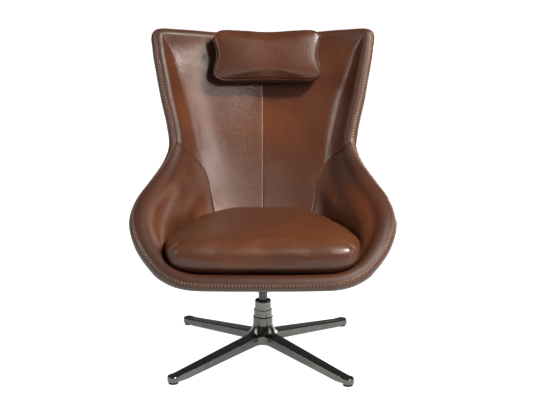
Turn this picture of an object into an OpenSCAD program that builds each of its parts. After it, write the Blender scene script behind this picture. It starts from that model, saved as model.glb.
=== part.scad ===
// Swivel recliner: an upholstered tub on a four-leg star base with a gas lift.
// Millimetres, +Z up, origin on the floor on the swivel axis, sitter faces -Y.

/* [Output] */
// Which sub-part to build; "all" builds every one

/* [Star base] */
// Distance from the swivel axis to the middle of each foot
foot_radius = 360; // [320:1:400]
// Diameter of the round boss at each leg's end
foot_diameter = 37; // [30:0.5:46]
// Height of the top of a foot above the floor
foot_top = 24; // [20:0.5:32]
// Height of the leg's underside beside the foot
foot_under = 7; // [5:0.5:12]
// Turn of the whole star about the swivel axis, in degrees
star_turn = -1.6; // [-10:0.1:10]
// Width of a leg at the hub
leg_root_width = 45; // [36:0.5:56]
// Width of a leg at the foot
leg_tip_width = 34; // [26:0.5:44]
// Height of the leg's top face where it meets the neck's flare
leg_root_top = 65; // [56:0.5:76]
// Height of the underside of the hub
hub_under = 40; // [34:0.5:50]
// Radius at which the leg's straight top face starts
leg_root_radius = 58; // [50:0.5:70]
// Radius of the hollow curve between two legs, seen from above
crotch_radius = 28; // [18:0.5:40]
// Radius of the hub's solid middle
hub_radius = 46; // [40:0.5:54]
// Outer radius of the neck at its top
neck_radius = 30.4; // [27:0.1:34]
// Height of the collar ring on top of the neck
collar_height = 23; // [16:0.5:32]
// Rise of the neck's waist above the middle between its top and the legs
waist_rise = 2.5; // [-6:0.5:8]
// Diameter of a floor glide
glide_diameter = 30; // [24:0.5:36]
// Thickness of a floor glide's pad
glide_height = 7; // [5:0.5:12]
// Diameter of a floor glide's stem
glide_stem = 8; // [5:0.5:12]
// Height of a floor glide's stem above its pad
glide_stem_height = 10; // [6:0.5:14]

/* [Gas lift] */
// Outer diameter of the fixed outer tube
tube_diameter = 50; // [44:0.5:56]
// Bore of the fixed outer tube
tube_bore = 44; // [38:0.5:48]
// Height of the outer tube's lower end
tube_low = 42; // [40:0.5:50]
// Drop from the tub's mounting plane to the outer tube's upper end
tube_drop = 131; // [126:0.5:142]
// Thickness of the tube's floor
tube_floor = 8; // [5:0.5:12]
// Outer diameter of the collar ring
collar_diameter = 56; // [52:0.5:62]
// Drop from the outer tube's upper end to the collar ring's top
collar_drop = 26; // [16:0.5:34]
// Chamfer of the collar ring and of the bush's flange
collar_chamfer = 1.5; // [0.5:0.1:3]
// Length of the guide bush below its flange
bush_length = 61; // [46:0.5:68]
// Thickness of the guide bush's flange
bush_flange = 3; // [2:0.1:5]
// Outer diameter of the guide bush's flange
bush_flange_diameter = 49; // [45:0.5:54]
// Diameter of the sliding gas cylinder
cylinder_diameter = 28; // [24:0.5:32]
// Radial gap of every running fit
running_gap = 0.04; // [0.01:0.01:0.1]
// Height of the gas cylinder's lower end at rest
cylinder_low = 90; // [84:0.5:98]
// Thickness of the gas cylinder's lower plug
cylinder_plug = 15; // [10:0.5:20]
// Thickness of the wall between the gas chamber and the taper
chamber_wall = 7; // [5:0.5:12]
// Diameter of the gas chamber and of the piston
chamber_diameter = 22; // [18:0.5:25]
// Drop from the mounting plane to the start of the mounting taper
taper_drop = 95; // [92:0.5:100]
// Length of the mounting taper
taper_length = 40; // [34:0.5:44]
// Diameter of the taper's upper end
taper_small = 26; // [22:0.5:28]
// Diameter of the piston rod
rod_diameter = 10; // [8:0.5:12]
// Diameter of the rod's end that is clipped in the tube
rod_end_diameter = 12; // [10:0.5:14]
// Height of the piston rod's lower end
rod_low = 36; // [33:0.5:39]
// Rise of the piston above the middle of the gas chamber at rest
piston_rise = 9; // [4:0.5:14]
// Height of the piston
piston_height = 13; // [8:0.5:18]
// Diameter of the shoulder that rests on the thrust bearing
shoulder_diameter = 20; // [16:0.5:22]
// Thickness of that shoulder
shoulder_height = 3; // [2:0.1:5]
// Outer diameter of the thrust bearing
bearing_diameter = 24; // [22:0.5:28]
// Thickness of one race of the thrust bearing
race_height = 2.5; // [2:0.1:4]
// Diameter of one ball of the thrust bearing
ball_diameter = 4; // [3:0.1:5]
// Number of balls in the thrust bearing
ball_count = 10; // [8:1:12]
// Thickness of the ball cage
cage_height = 1.8; // [1:0.1:2.5]
// Gap above the balls
bearing_gap = 0.05; // [0.02:0.01:0.1]
// Diameter of the groove for the retaining clip
clip_groove = 10.4; // [9:0.1:11]
// Outer diameter of the retaining clip
clip_diameter = 20; // [16:0.5:24]
// Thickness of the retaining clip
clip_height = 1.8; // [1.2:0.1:3]
// Diameter of the release button
button_diameter = 8; // [6:0.5:10]
// Rise of the release button above the taper at rest
button_rise = 6; // [5.5:0.1:9]
// Length of the release button
button_length = 30; // [24:0.5:36]
// Free depth of the bore below the release button at rest
button_play = 8; // [6:0.5:12]

/* [Tilt mechanism] */
// Half of the outer width of the tilt housing
housing_half = 54; // [50:0.5:60]
// Thickness of the housing's walls and floors
housing_wall = 4; // [3:0.5:6]
// Position in Y of the housing's front edge
housing_front = -102; // [-112:1:-92]
// Position in Y of the housing's rear edge
housing_rear = 95; // [85:1:105]
// Drop from the mounting plane to the front floor's underside
front_floor_drop = 69; // [64:0.5:74]
// Drop from the mounting plane to the rear floor's underside
rear_floor_drop = 94; // [90:0.5:98]
// Position in Y of the front end of the step between the floors
step_front = -36; // [-46:1:-30]
// Position in Y of the rear end of the step between the floors
step_rear = -23; // [-28:1:-18]
// Drop from the mounting plane to the walls at the front
wall_front_drop = 25; // [20:0.5:30]
// Drop from the mounting plane to the walls over the clamp bolt
wall_mid_drop = 34; // [30:0.5:38]
// Drop from the mounting plane to the walls at the rear
wall_rear_drop = 58; // [52:0.5:64]
// Position in Y of the wall's bend behind the clamp bolt
wall_mid = 34; // [28:1:40]
// Diameter of the socket boss
boss_diameter = 44; // [40:0.5:50]
// Position in Y of the tilt axis
pivot_y = -80; // [-90:1:-70]
// Drop from the mounting plane to the tilt axis
pivot_drop = 46; // [42:0.5:50]
// Diameter of the tilt pin
pin_diameter = 12; // [10:0.5:14]
// Diameter of the tilt pin's head and clip
pin_head = 17; // [14:0.5:20]
// Thickness of the tilt pin's head and clip
pin_head_height = 3; // [2:0.1:5]
// Outer diameter of a pivot bush
pivot_bush_diameter = 17; // [15:0.5:20]
// Radius of the round end of a seat-plate ear
ear_radius = 15; // [13:0.5:18]
// Gap between an ear and the housing's wall
ear_gap = 1.5; // [0.8:0.1:3]
// Thickness of an ear
ear_thickness = 4.5; // [3:0.5:6]
// Height of the plane where the seat plate meets the tub
mount_height = 302; // [298:0.5:306]
// Thickness of the seat plate
plate_thickness = 5; // [4:0.5:8]
// Half of the seat plate's width
plate_half = 80; // [70:1:90]
// Position in Y of the seat plate's front edge
plate_front = -116; // [-126:1:-106]
// Position in Y of the seat plate's rear edge
plate_rear = 88; // [80:1:98]
// Corner radius of the seat plate
plate_corner = 14; // [8:0.5:20]
// Distance from the middle to the plate bolts, across
bolt_half_spacing = 62; // [55:1:68]
// Position in Y of the front plate bolts
bolt_front = -98; // [-104:1:-90]
// Position in Y of the rear plate bolts
bolt_rear = 26; // [20:1:30]
// Diameter of a plate bolt
bolt_diameter = 8; // [6:0.5:10]
// Radial gap round a plate bolt in the tub
bolt_gap = 0.3; // [0.1:0.1:1]
// Diameter of a plate bolt's head
bolt_head = 13; // [11:0.5:16]
// Height of a plate bolt's head
bolt_head_height = 5; // [4:0.5:7]
// Reach of a plate bolt above the mounting plane
bolt_reach = 17.5; // [15:0.5:18]
// Diameter of a bolt's tee nut
tee_diameter = 18; // [15:0.5:22]
// Thickness of a bolt's tee nut
tee_height = 2; // [1.5:0.1:3]
// Radius from the tilt axis to the clamp slot's middle
slot_radius = 100; // [92:1:108]
// Half of the slotted sector's radial width
sector_half = 12; // [10:0.5:15]
// Gap between the sector and the housing's wall, which the clamp washer fills
sector_gap = 6; // [4:0.5:8]
// Thickness of the slotted sector
sector_thickness = 4; // [3:0.5:5]
// Angle of the sector's lower end below the tilt axis
sector_low_angle = 6; // [5:0.5:9]
// Angle of the sector's upper end above the tilt axis
sector_high_angle = 30; // [26:0.5:34]
// Recline of the seat at its end stop
recline_angle = 14; // [10:0.5:18]
// Diameter of the clamp bolt
clamp_diameter = 8; // [6:0.5:10]
// Radial gap of the clamp bolt in the slot
slot_gap = 0.2; // [0.1:0.05:0.5]
// Diameter of the clamp bolt's head and nut
clamp_head = 16; // [13:0.5:20]
// Thickness of the clamp bolt's head and nut
clamp_head_height = 5; // [4:0.5:8]
// Gap between clamp parts that turn or slide on one another
face_gap = 0.3; // [0.1:0.05:0.5]
// Length of the lock lever from the clamp bolt
lock_length = 95; // [80:1:110]
// Width of the lock lever
lock_width = 12; // [9:0.5:16]
// Thickness of the lock lever's hub along the bolt
lock_hub = 9; // [7:0.5:12]
// Thickness of the lock lever's arm
lock_thickness = 5; // [4:0.5:8]

/* [Springs and tension] */
// Position in Y of the springs and of the tension bolt
spring_y = 62; // [56:1:68]
// Distance from the middle to a spring
spring_x = 24; // [20:0.5:27]
// Diameter of a spring's wire
wire_diameter = 4; // [3:0.1:5]
// Outer diameter of a spring
spring_diameter = 30; // [26:0.5:32]
// Number of curls in a spring
spring_curls = 6; // [4:1:8]
// Drop from the mounting plane to the spring seat's underside at rest
spring_seat_drop = 80; // [76:0.5:83]
// Thickness of the spring seat
seat_thickness = 4; // [3:0.5:6]
// Gap between the spring seat and the housing's wall
seat_side_gap = 4; // [1:0.5:8]
// Half of the spring seat's depth
seat_depth_half = 16; // [14:0.5:20]
// Height of a spring's locating stud
stud_height = 6; // [4:0.5:8]
// Diameter of a spring's locating stud
stud_diameter = 18; // [14:0.5:20]
// Diameter of the tension bolt
tension_diameter = 8; // [6:0.5:10]
// Drop from the mounting plane to the tension bolt's upper end
tension_drop = 57; // [52:0.5:62]
// Diameter of the tension knob
knob_diameter = 46; // [36:0.5:54]
// Drop from the mounting plane to the tension knob's underside
knob_drop = 121; // [118:0.5:126]
// Height of the tension knob
knob_height = 23; // [18:0.5:24]
// Number of grip hollows round the tension knob
knob_lobes = 8; // [6:1:12]
// Diameter of one grip hollow
knob_hollow = 12; // [8:0.5:16]
// Thickness of the thrust washers on the tension bolt
washer_height = 3; // [2:0.1:4]
// Outer diameter of the thrust washers
washer_diameter = 18; // [14:0.5:22]

/* [Height lever] */
// Distance from the lever's pivot to the housing's wall
lever_pivot_inset = 5; // [3:0.5:8]
// Gap between the lever and the button at rest
button_gap = 0.3; // [0.1:0.05:0.5]
// Width of the lever's bar
lever_width = 12; // [10:0.5:16]
// Thickness of the lever's bar
lever_thickness = 4; // [3:0.5:6]
// Distance from the middle to the lever's outer end
lever_reach = 182; // [160:1:190]
// Diameter of the lever's pivot pin
lever_pin_diameter = 5; // [4:0.5:6]
// Diameter of the lever's hub
lever_hub = 11; // [9:0.5:13]
// Half of the space between the lever's lugs
lug_gap_half = 7.5; // [7:0.1:9]
// Thickness of one lug
lug_thickness = 4; // [3:0.5:6]
// Half of the width of one lug
lug_half = 6; // [5:0.5:8]
// Length of the lever's grip
grip_length = 46; // [36:1:56]
// Width of the lever's grip
grip_width = 20; // [16:0.5:26]
// Thickness of the lever's grip
grip_thickness = 12; // [9:0.5:14]

/* [Tub] */
// Unit length of the tub: its outline shares are parts of this
tub_unit = 1000; // [900:1:1100]
// Half of the structural shell's thickness
core_half = 5; // [4:0.5:7]
// Gap between the shell and the padding on each side of it
layer_gap = 0.9; // [0.1:0.05:0.95]
// Distance from the rim's seam back to the shell's edge
core_inset = 18; // [16:0.5:24]
// Distance over which the lining thins under the cushion
thin_depth = 90; // [60:1:120]
// Height above the mounting plane below which the lining thins under the cushion
thin_rise = 138; // [98:1:178]
// Distance from the rim at which that thinning starts
thin_start = 60; // [40:1:80]
// Distance over which that thinning grows
thin_run = 110; // [80:1:140]
// Distance from the rim over which the arm's stuffing grows
puff_run = 110; // [80:1:140]
// Distance from the rim at which the arm's stuffing starts to fade
puff_start = 230; // [180:1:280]
// Distance over which the arm's stuffing fades
puff_fade = 200; // [150:1:250]

/* [Soft parts] */
// Gap between the cushion and what it lies on
cushion_gap = 0.7; // [0.3:0.05:0.9]
// Rise of the seat cushion's crown above the mounting plane
crown_rise = 144; // [128:1:158]
// Position in Y of the middle of the seat cushion
cushion_y = -80; // [-100:1:-60]
// Width of the head pillow
pillow_width = 354; // [320:1:380]
// Height of the head pillow along the back
pillow_height = 176; // [150:1:200]
// Thickness of the head pillow
pillow_thickness = 88; // [60:1:110]
// Position of the pillow's middle across
pillow_x = 13; // [-20:1:20]
// Position in Y of the pillow's middle
pillow_y = 303.6; // [290:0.5:315]
// Rise of the pillow's middle above the mounting plane
pillow_rise = 587; // [558:1:608]
// Lean of the pillow, in degrees from upright
pillow_lean = 15.5; // [10:0.5:20]
// Thickness of the pillow's strap
strap_thickness = 2; // [1.2:0.1:3]
// Gap between the strap and the upholstery that it lies on
strap_gap = 1.3; // [0.8:0.1:2]
// Length of the strap down the front
strap_front_run = 150; // [110:1:180]
// Length of the strap down the rear
strap_rear_run = 250; // [200:1:300]
// Half of the counterweight pouch's width
weight_half = 80; // [60:1:100]
// Half of the counterweight pouch's height
weight_height_half = 50; // [40:1:70]
// Half of the counterweight pouch's thickness
weight_thick_half = 11; // [8:0.5:16]
// Position in Y of the middle of the counterweight pouch
weight_y = 390.7; // [380:0.1:400]
// Rise of the middle of the counterweight pouch above the mounting plane
weight_rise = 506; // [478:1:558]
// Lean of the counterweight pouch, in degrees from upright
weight_lean = 16.2; // [10:0.1:20]
// Forward bend of the pillow's ends round the back
pillow_wrap = 16; // [0:1:30]

/* [Hidden] */

$fn = 64;

// Heights that hang from the mounting plane, or stand on it.
tube_top = mount_height - tube_drop;
collar_top = tube_top - collar_drop;
neck_top = collar_top - collar_height;
neck_waist = (neck_top + leg_root_top) / 2 + waist_rise;
bush_low = tube_top - bush_length;
taper_low = mount_height - taper_drop;
taper_top = taper_low + taper_length;
chamber_top = taper_low - chamber_wall;
piston_low = (cylinder_low + cylinder_plug + chamber_top - piston_height) / 2 + piston_rise;
button_top = taper_top + button_rise;
button_low = button_top - button_length;
button_floor = button_low - button_play;
front_floor = mount_height - front_floor_drop;
rear_floor = mount_height - rear_floor_drop;
wall_front_top = mount_height - wall_front_drop;
wall_mid_top = mount_height - wall_mid_drop;
wall_rear_top = mount_height - wall_rear_drop;
pivot_z = mount_height - pivot_drop;
bolt_top = mount_height + bolt_reach;
seat_low = mount_height - spring_seat_drop;
tension_top = mount_height - tension_drop;
knob_low = mount_height - knob_drop;
knob_top = knob_low + knob_height;
thin_height = mount_height + thin_rise;
cushion_crown = mount_height + crown_rise;
pillow_z = mount_height + pillow_rise;
weight_z = mount_height + weight_rise;

// Places across that follow the housing's walls.
inner_half = housing_half - housing_wall;
ear_inner = inner_half - ear_gap - ear_thickness;
sector_inner = inner_half - sector_gap - sector_thickness;
seat_half = inner_half - seat_side_gap;
lever_pivot_x = inner_half - lever_pivot_inset;

// Rim stations run from the middle of the front lip to the middle of the top edge.
rim_x_shares = [0, 0.112, 0.217, 0.283, 0.330, 0.366, 0.384, 0.373, 0.339, 0.305,
    0.285, 0.292, 0.312, 0.329, 0.343, 0.340, 0.262, 0.135, 0];
rim_y_shares = [-0.335, -0.334, -0.326, -0.298, -0.260, -0.210, -0.145, -0.064, 0.028, 0.106,
    0.158, 0.184, 0.212, 0.242, 0.274, 0.304, 0.344, 0.380, 0.392];
rim_z_shares = [0.325, 0.325, 0.328, 0.346, 0.381, 0.424, 0.472, 0.512, 0.549, 0.589,
    0.636, 0.696, 0.768, 0.848, 0.925, 0.974, 0.971, 0.957, 0.952];
// Second control point of each line from the pole to the rim.
flank_x_shares = [0, 0.104, 0.184, 0.222, 0.240, 0.252, 0.260, 0.264, 0.262, 0.255,
    0.246, 0.251, 0.265, 0.280, 0.294, 0.290, 0.238, 0.124, 0];
flank_y_shares = [0.030, 0.025, 0.008, -0.024, -0.060, -0.076, -0.056, 0, 0.072, 0.147,
    0.216, 0.277, 0.308, 0.336, 0.356, 0.358, 0.350, 0.356, 0.360];
flank_z_shares = [0.306, 0.306, 0.304, 0.302, 0.302, 0.313, 0.340, 0.378, 0.420, 0.472,
    0.540, 0.640, 0.735, 0.812, 0.868, 0.872, 0.835, 0.802, 0.790];
// First control point of each line; it stays in the pole's own plane.
root_x_shares = [0, 0.056, 0.120, 0.176, 0.222, 0.252, 0.268, 0.270, 0.262, 0.246,
    0.226, 0.206, 0.185, 0.158, 0.124, 0.090, 0.058, 0.028, 0];
root_z_shares = [0.290, 0.292, 0.300, 0.315, 0.334, 0.356, 0.380, 0.410, 0.440, 0.472,
    0.508, 0.546, 0.584, 0.618, 0.645, 0.662, 0.672, 0.680, 0.684];
// Padding inside and outside the shell's middle surface, and stuffing in the arms.
lining_shares = [0.022, 0.022, 0.024, 0.028, 0.031, 0.033, 0.033, 0.033, 0.031, 0.029,
    0.027, 0.026, 0.026, 0.026, 0.025, 0.024, 0.024, 0.024, 0.024];
outside_shares = [0.019, 0.019, 0.020, 0.021, 0.021, 0.022, 0.024, 0.023, 0.020, 0.018,
    0.019, 0.020, 0.020, 0.020, 0.019, 0.019, 0.018, 0.018, 0.018];
puff_shares = [0, 0, 0, 0.004, 0.010, 0.016, 0.020, 0.022, 0.018, 0.008,
    0, 0, 0, 0, 0, 0, 0, 0, 0];
// Outline of the seat deck in the unit disc, from the back's middle to the front's middle.
deck_x_shares = [0, 0.090, 0.190, 0.301, 0.383, 0.433, 0.450, 0.435, 0.395, 0.290, 0.138, 0];
deck_y_shares = [-0.328, -0.318, -0.305, -0.359, -0.449, -0.544, -0.667, -0.770, -0.862, -0.918,
    -0.946, -0.952];
// Rim station that each point of the deck's outline faces.
facing_shares = [18, 14, 10, 8.3, 6.8, 5.6, 4.4, 3.6, 2.7, 1.8, 0.9, 0];
// Plan scale and height of the cushion's upper edge at the same points.
cushion_scale_shares = [1.08, 1.07, 1.01, 1.00, 1.025, 1.06, 1.10, 1.145, 1.13, 1.125,
    1.165, 1.195];
cushion_edge_shares = [0.408, 0.409, 0.412, 0.417, 0.420, 0.423, 0.425, 0.427, 0.427, 0.427,
    0.427, 0.426];
pole_y_share = 0.270;
pole_z_share = 0.520;
pole_slope_share = 0.2584;
mount_share = 0.302;
seam_bend_x_share = -0.175;
seam_bend_y_share = 0.30;
seam_decay_share = 0.7;
deck_centre_share = -0.63;
thin_share = 0.55;
rim_round_share = 0.55;
rim_power = 2.3;
station_count = len(rim_x_shares) - 1;
station_angle = 180 / station_count;
step_share = 0.02;
pole_margin_share = 0.02;
rim_edge_shares = [0.045, 0.028, 0.015, 0.006, 0.0015, 0];
seam_open_share = 0.015;
seam_close_share = 0.006;
rim_apex_gap = layer_gap / 5;

// Columns of the tub run round one side from the back's middle; the arm's seam is at seam_index.
seam_index = 2;
back_column_count = 10;
arm_column_count = 15;
// Places of the rows between the deck and the rim; they are closer where the tub bends.
pad_row_shares = [0, 0.06, 0.13, 0.22, 0.33, 0.47, 0.64, 0.82];
pad_row_count = len(pad_row_shares);
panel_gap_share = 0.012;
deck_steps = len(deck_x_shares) - 1;
half_columns = concat(
    [for (j = [0 : back_column_count]) seam_index * j / back_column_count],
    [for (j = [1 : arm_column_count]) seam_index + (deck_steps - seam_index) * j / arm_column_count]
);
side_count = len(half_columns) - 1;
columns = concat([for (t = half_columns) [-1, t]], [for (j = [side_count - 1 : -1 : 1]) [1, half_columns[j]]]);

function mirror_cell(l, k, g) = k < 0 ? g * l[-k] : k > len(l) - 1 ? g * l[2 * (len(l) - 1) - k] : l[k];
function wave(l, t, g) = let (
    k = floor(t),
    f = t - k,
    a = mirror_cell(l, k - 1, g),
    b = mirror_cell(l, k, g),
    c = mirror_cell(l, k + 1, g),
    d = mirror_cell(l, k + 2, g)
) (2 * b + (c - a) * f + (2 * a - 5 * b + 4 * c - d) * f * f + (3 * b - a - 3 * c + d) * f * f * f) / 2;
function smooth(x) = let (c = min(max(x, 0), 1)) c * c * (3 - 2 * c);

tub_rise = [0, 0, mount_height - mount_share * tub_unit];
pole = [0, pole_y_share, pole_z_share] * tub_unit + tub_rise;
pole_normal = [0, -1, pole_slope_share] / norm([0, -1, pole_slope_share]);

// Controls of one line: root, flank, rim, lining, outside, puff and speed at the rim.
function line_controls(u) = let (
    g = u < 0 ? -1 : 1,
    s = abs(u),
    root_z = wave(root_z_shares, s, 1),
    root_y = pole_y_share + pole_slope_share * (root_z - pole_z_share),
    root = [g * wave(root_x_shares, s, -1), root_y, root_z] * tub_unit + tub_rise,
    flank = [g * wave(flank_x_shares, s, -1), wave(flank_y_shares, s, 1), wave(flank_z_shares, s, 1)] * tub_unit
        + tub_rise,
    rim = [g * wave(rim_x_shares, s, -1), wave(rim_y_shares, s, 1), wave(rim_z_shares, s, 1)] * tub_unit
        + tub_rise,
    lining = wave(lining_shares, s, 1) * tub_unit,
    outside = wave(outside_shares, s, 1) * tub_unit,
    puff = wave(puff_shares, s, 1) * tub_unit
) [root, flank, rim, lining, outside, puff, 3 * norm(rim - flank)];
function line_point(c, q) = let (p = 1 - q)
    p * p * p * pole + 3 * p * p * q * c[0] + 3 * p * q * q * c[1] + q * q * q * c[2];

// One sample of the tub: point, normal into the tub, lining, outside and distance to the rim.
function sample(u, q) = let (
    c = line_controls(u),
    before = line_controls(u - step_share),
    after = line_controls(u + step_share),
    r = max(q, pole_margin_share),
    point = line_point(c, q),
    along = line_point(c, r + pole_margin_share / 4) - line_point(c, r - pole_margin_share / 4),
    across = line_point(after, r) - line_point(before, r),
    n = cross(along, across),
    normal = q < pole_margin_share / 4 ? pole_normal : n / norm(n),
    d = (1 - q) * c[6],
    thin = 1 - thin_share * smooth((thin_height - point[2]) / thin_depth) * smooth((d - thin_start) / thin_run),
    puff = c[5] * smooth(d / puff_run) * (1 - smooth((d - puff_start) / puff_fade))
) [point, normal, c[3] * thin + puff, c[4], d];
function disc_sample(x, y) = sample(atan2(x, -y) / station_angle, norm([x, y]));

// Rounded rim: middle offset and half thickness, both grown by an amount o.
function rim_middle(s) = (s[2] - s[3]) / 2;
function rim_half(s, o) = let (
    t = s[2] + s[3],
    x = min(max(1 - (s[4] + o) / (t * rim_round_share + o), 0), 1)
) (t / 2 + o) * pow(1 - pow(x, rim_power), 1 / rim_power);
function layer(s, t) = s[0] + t * s[1];
function inside(s, o) = layer(s, rim_middle(s) + rim_half(s, o));
function outside(s, o) = let (p = layer(s, rim_middle(s) - rim_half(s, o))) [p[0], p[1], max(p[2], mount_height)];

// Share of the way from the shell's face to the rim seam, by distance to the rim.
function seam_blend(s) = smooth((seam_open_share - s[4] / tub_unit) / (seam_open_share - seam_close_share));
function lining_back(s) = let (b = seam_blend(s))
    layer(s, (core_half + layer_gap) * (1 - b) + (rim_middle(s) + rim_apex_gap) * b);
function cover_back(s) = let (b = seam_blend(s))
    layer(s, -(core_half + layer_gap) * (1 - b) + (rim_middle(s) - rim_apex_gap) * b);

// Samples up one column of the tub, from the deck's outline to the rim, on side g.
function column_samples(g, t) = let (
    bx = g * wave(deck_x_shares, t, -1),
    by = wave(deck_y_shares, t, 1),
    u = g * wave(facing_shares, t, 1),
    bend = smooth(1 - abs(t - seam_index) / seam_decay_share),
    reach = line_controls(u)[6],
    q = 1 - rim_edge_shares[0] * tub_unit / reach,
    a = u * station_angle,
    ex = q * sin(a),
    ey = -q * cos(a),
    mx = (bx + ex) / 2 + g * bend * seam_bend_x_share,
    my = (by + ey) / 2 + bend * seam_bend_y_share
) concat(
    [for (v = pad_row_shares) let (w = 1 - v)
        disc_sample(w * w * bx + 2 * w * v * mx + v * v * ex, w * w * by + 2 * w * v * my + v * v * ey)],
    [for (e = rim_edge_shares) sample(u, 1 - e * tub_unit / reach)]
);
function padding_loop(col) = let (m = len(col) - 1) concat(
    [for (k = [0 : m - 1]) inside(col[k], 0)],
    [layer(col[m], rim_middle(col[m]) + rim_apex_gap)],
    [for (k = [m - 1 : -1 : 0]) lining_back(col[k])]
);

// Closed skin over loops of points, with a strip over each end; past a turn the quads split the other way.
module loop_skin(loops, turn) {
    n = len(loops[0]);
    m = (n - 1) / 2;
    last = (len(loops) - 1) * n;
    polyhedron(
        points = [for (l = loops) for (p = l) p],
        faces = concat(
            [for (j = [0 : len(loops) - 2]) for (i = [0 : n - 1]) let (a = j * n, b = a + n, k = (i + 1) % n)
                each j < turn ? [[a + i, a + k, b + i], [a + k, b + k, b + i]]
                    : [[a + i, a + k, b + k], [a + i, b + k, b + i]]],
            [for (k = [0 : m - 1]) [k, n - 1 - k, k + 1]],
            [for (k = [0 : m - 2]) [k + 1, n - 1 - k, n - 2 - k]],
            [for (k = [0 : m - 1]) [last + k, last + k + 1, last + n - 1 - k]],
            [for (k = [0 : m - 2]) [last + k + 1, last + n - 2 - k, last + n - 1 - k]]
        ),
        convexity = 10
    );
}

// Closed skin over rings of points between two end points. The first bands run outward, and each quad
// splits so that the layers of the tub have the same creases, alike on both sides.
module ring_skin(first, rings, final, outward = 0) {
    n = len(rings[0]);
    c = len(rings);
    end = c * n + 1;
    polyhedron(
        points = concat([first], [for (r = rings) for (p = r) p], [final]),
        faces = concat(
            [for (i = [0 : n - 1]) [0, 1 + i, 1 + (i + 1) % n]],
            [for (j = [0 : c - 2]) for (i = [0 : n - 1]) let (a = 1 + j * n, b = a + n, k = (i + 1) % n)
                each (j < outward) == (i < n / 2) ? [[a + i, b + i, b + k], [a + i, b + k, a + k]]
                    : [[a + i, b + i, a + k], [a + k, b + i, b + k]]],
            [for (i = [0 : n - 1]) [end, end - n + (i + 1) % n, end - n + i]]
        ),
        convexity = 10
    );
}

// Upright rod between two heights.
module rod(diameter, low, top) {
    translate([0, 0, low])
        cylinder(d = diameter, h = top - low);
}

// Rod along X between two positions, at a place in Y and Z.
module cross_rod(diameter, low, top, y, z) {
    translate([low, y, z])
        rotate([0, 90, 0])
            cylinder(d = diameter, h = top - low);
}

// Box between two corners.
module box(a, b) {
    translate(a)
        cube(b - a);
}

// Plate whose outline is in Y and Z, between two positions in X.
module side_plate(low, top, points) {
    translate([low, 0, 0])
        rotate([90, 0, 90])
            linear_extrude(height = top - low)
                polygon(points);
}

foot_angles = [for (k = [0 : 3]) 45 + 90 * k + star_turn];
tube_radius = tube_diameter / 2;

module star_plan() {
    for (a = foot_angles)
        rotate(a) {
            polygon([[0, -leg_root_width / 2], [foot_radius, -leg_tip_width / 2],
                [foot_radius, leg_tip_width / 2], [0, leg_root_width / 2]]);
            translate([foot_radius, 0])
                circle(d = foot_diameter);
        }
    circle(r = hub_radius);
    for (a = foot_angles)
        rotate(a)
            difference() {
                square(leg_root_width / 2 + crotch_radius - running_gap);
                translate([leg_root_width / 2 + crotch_radius, leg_root_width / 2 + crotch_radius])
                    circle(r = crotch_radius);
            }
}

neck_flare_shares = [[0.15, 0.52], [0.44, 0.20], [1, 0]];
flare_width = leg_root_radius - neck_radius;
flare_height = neck_waist - leg_root_top;

module star_base() {
    color("dimgray")
        difference() {
            intersection() {
                translate([0, 0, glide_height / 2])
                    linear_extrude(height = neck_top)
                        star_plan();
                rotate_extrude($fn = 96)
                    polygon(concat(
                        [[0, hub_under], [hub_radius, hub_under],
                            [foot_radius - foot_diameter, foot_under],
                            [foot_radius + foot_diameter, foot_under],
                            [foot_radius + foot_diameter, foot_top],
                            [foot_radius - foot_diameter / 4, foot_top]],
                        [for (k = [2 : -1 : 0]) [neck_radius + neck_flare_shares[k][0] * flare_width,
                            leg_root_top + neck_flare_shares[k][1] * flare_height]],
                        [[neck_radius + running_gap, neck_waist], [neck_radius, neck_top], [0, neck_top]]
                    ));
            }
            rod(tube_diameter, 0, neck_top + neck_top);
            for (a = foot_angles)
                rotate(a)
                    translate([foot_radius, 0, 0])
                        rod(glide_stem, 0, glide_height + glide_stem_height);
        }
}

module glide(angle) {
    color("black")
        rotate(angle)
            translate([foot_radius, 0, 0]) {
                rod(glide_diameter, 0, foot_under);
                rod(glide_stem, 0, glide_height + glide_stem_height);
            }
}

module glide_back_right() {
    glide(foot_angles[0]);
}

module glide_back_left() {
    glide(foot_angles[1]);
}

module glide_front_left() {
    glide(foot_angles[2]);
}

module glide_front_right() {
    glide(foot_angles[3]);
}

module column_tube() {
    color("gray")
        difference() {
            rod(tube_diameter, tube_low, tube_top);
            rod(tube_bore, tube_low + tube_floor, tube_top + tube_floor);
            rod(rod_end_diameter + 2 * running_gap, 0, tube_top);
        }
}

module collar_ring() {
    color("gray")
        rotate_extrude()
            polygon([[tube_radius, neck_top], [collar_diameter / 2, neck_top],
                [collar_diameter / 2, collar_top - collar_chamfer],
                [collar_diameter / 2 - collar_chamfer, collar_top], [tube_radius, collar_top]]);
}

module column_bush() {
    color("black")
        rotate_extrude()
            polygon([[cylinder_diameter / 2 + running_gap, bush_low], [tube_bore / 2, bush_low],
                [tube_bore / 2, tube_top], [bush_flange_diameter / 2, tube_top],
                [bush_flange_diameter / 2, tube_top + bush_flange - collar_chamfer],
                [bush_flange_diameter / 2 - collar_chamfer, tube_top + bush_flange],
                [cylinder_diameter / 2 + running_gap, tube_top + bush_flange]]);
}

race_low = tube_low + tube_floor;
ball_middle = race_low + race_height + ball_diameter / 2;
upper_race_low = race_low + race_height + ball_diameter + bearing_gap;
shoulder_low = upper_race_low + race_height;
clip_top = tube_low - bearing_gap * 2;

module piston_rod() {
    color("silver")
        difference() {
            union() {
                rod(rod_end_diameter, rod_low, shoulder_low);
                rod(shoulder_diameter, shoulder_low, shoulder_low + shoulder_height);
                rod(rod_diameter, shoulder_low, piston_low);
                rod(chamber_diameter, piston_low, piston_low + piston_height);
            }
            difference() {
                rod(clip_diameter, clip_top - clip_height, clip_top);
                rod(clip_groove, 0, tube_top);
            }
        }
}

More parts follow.
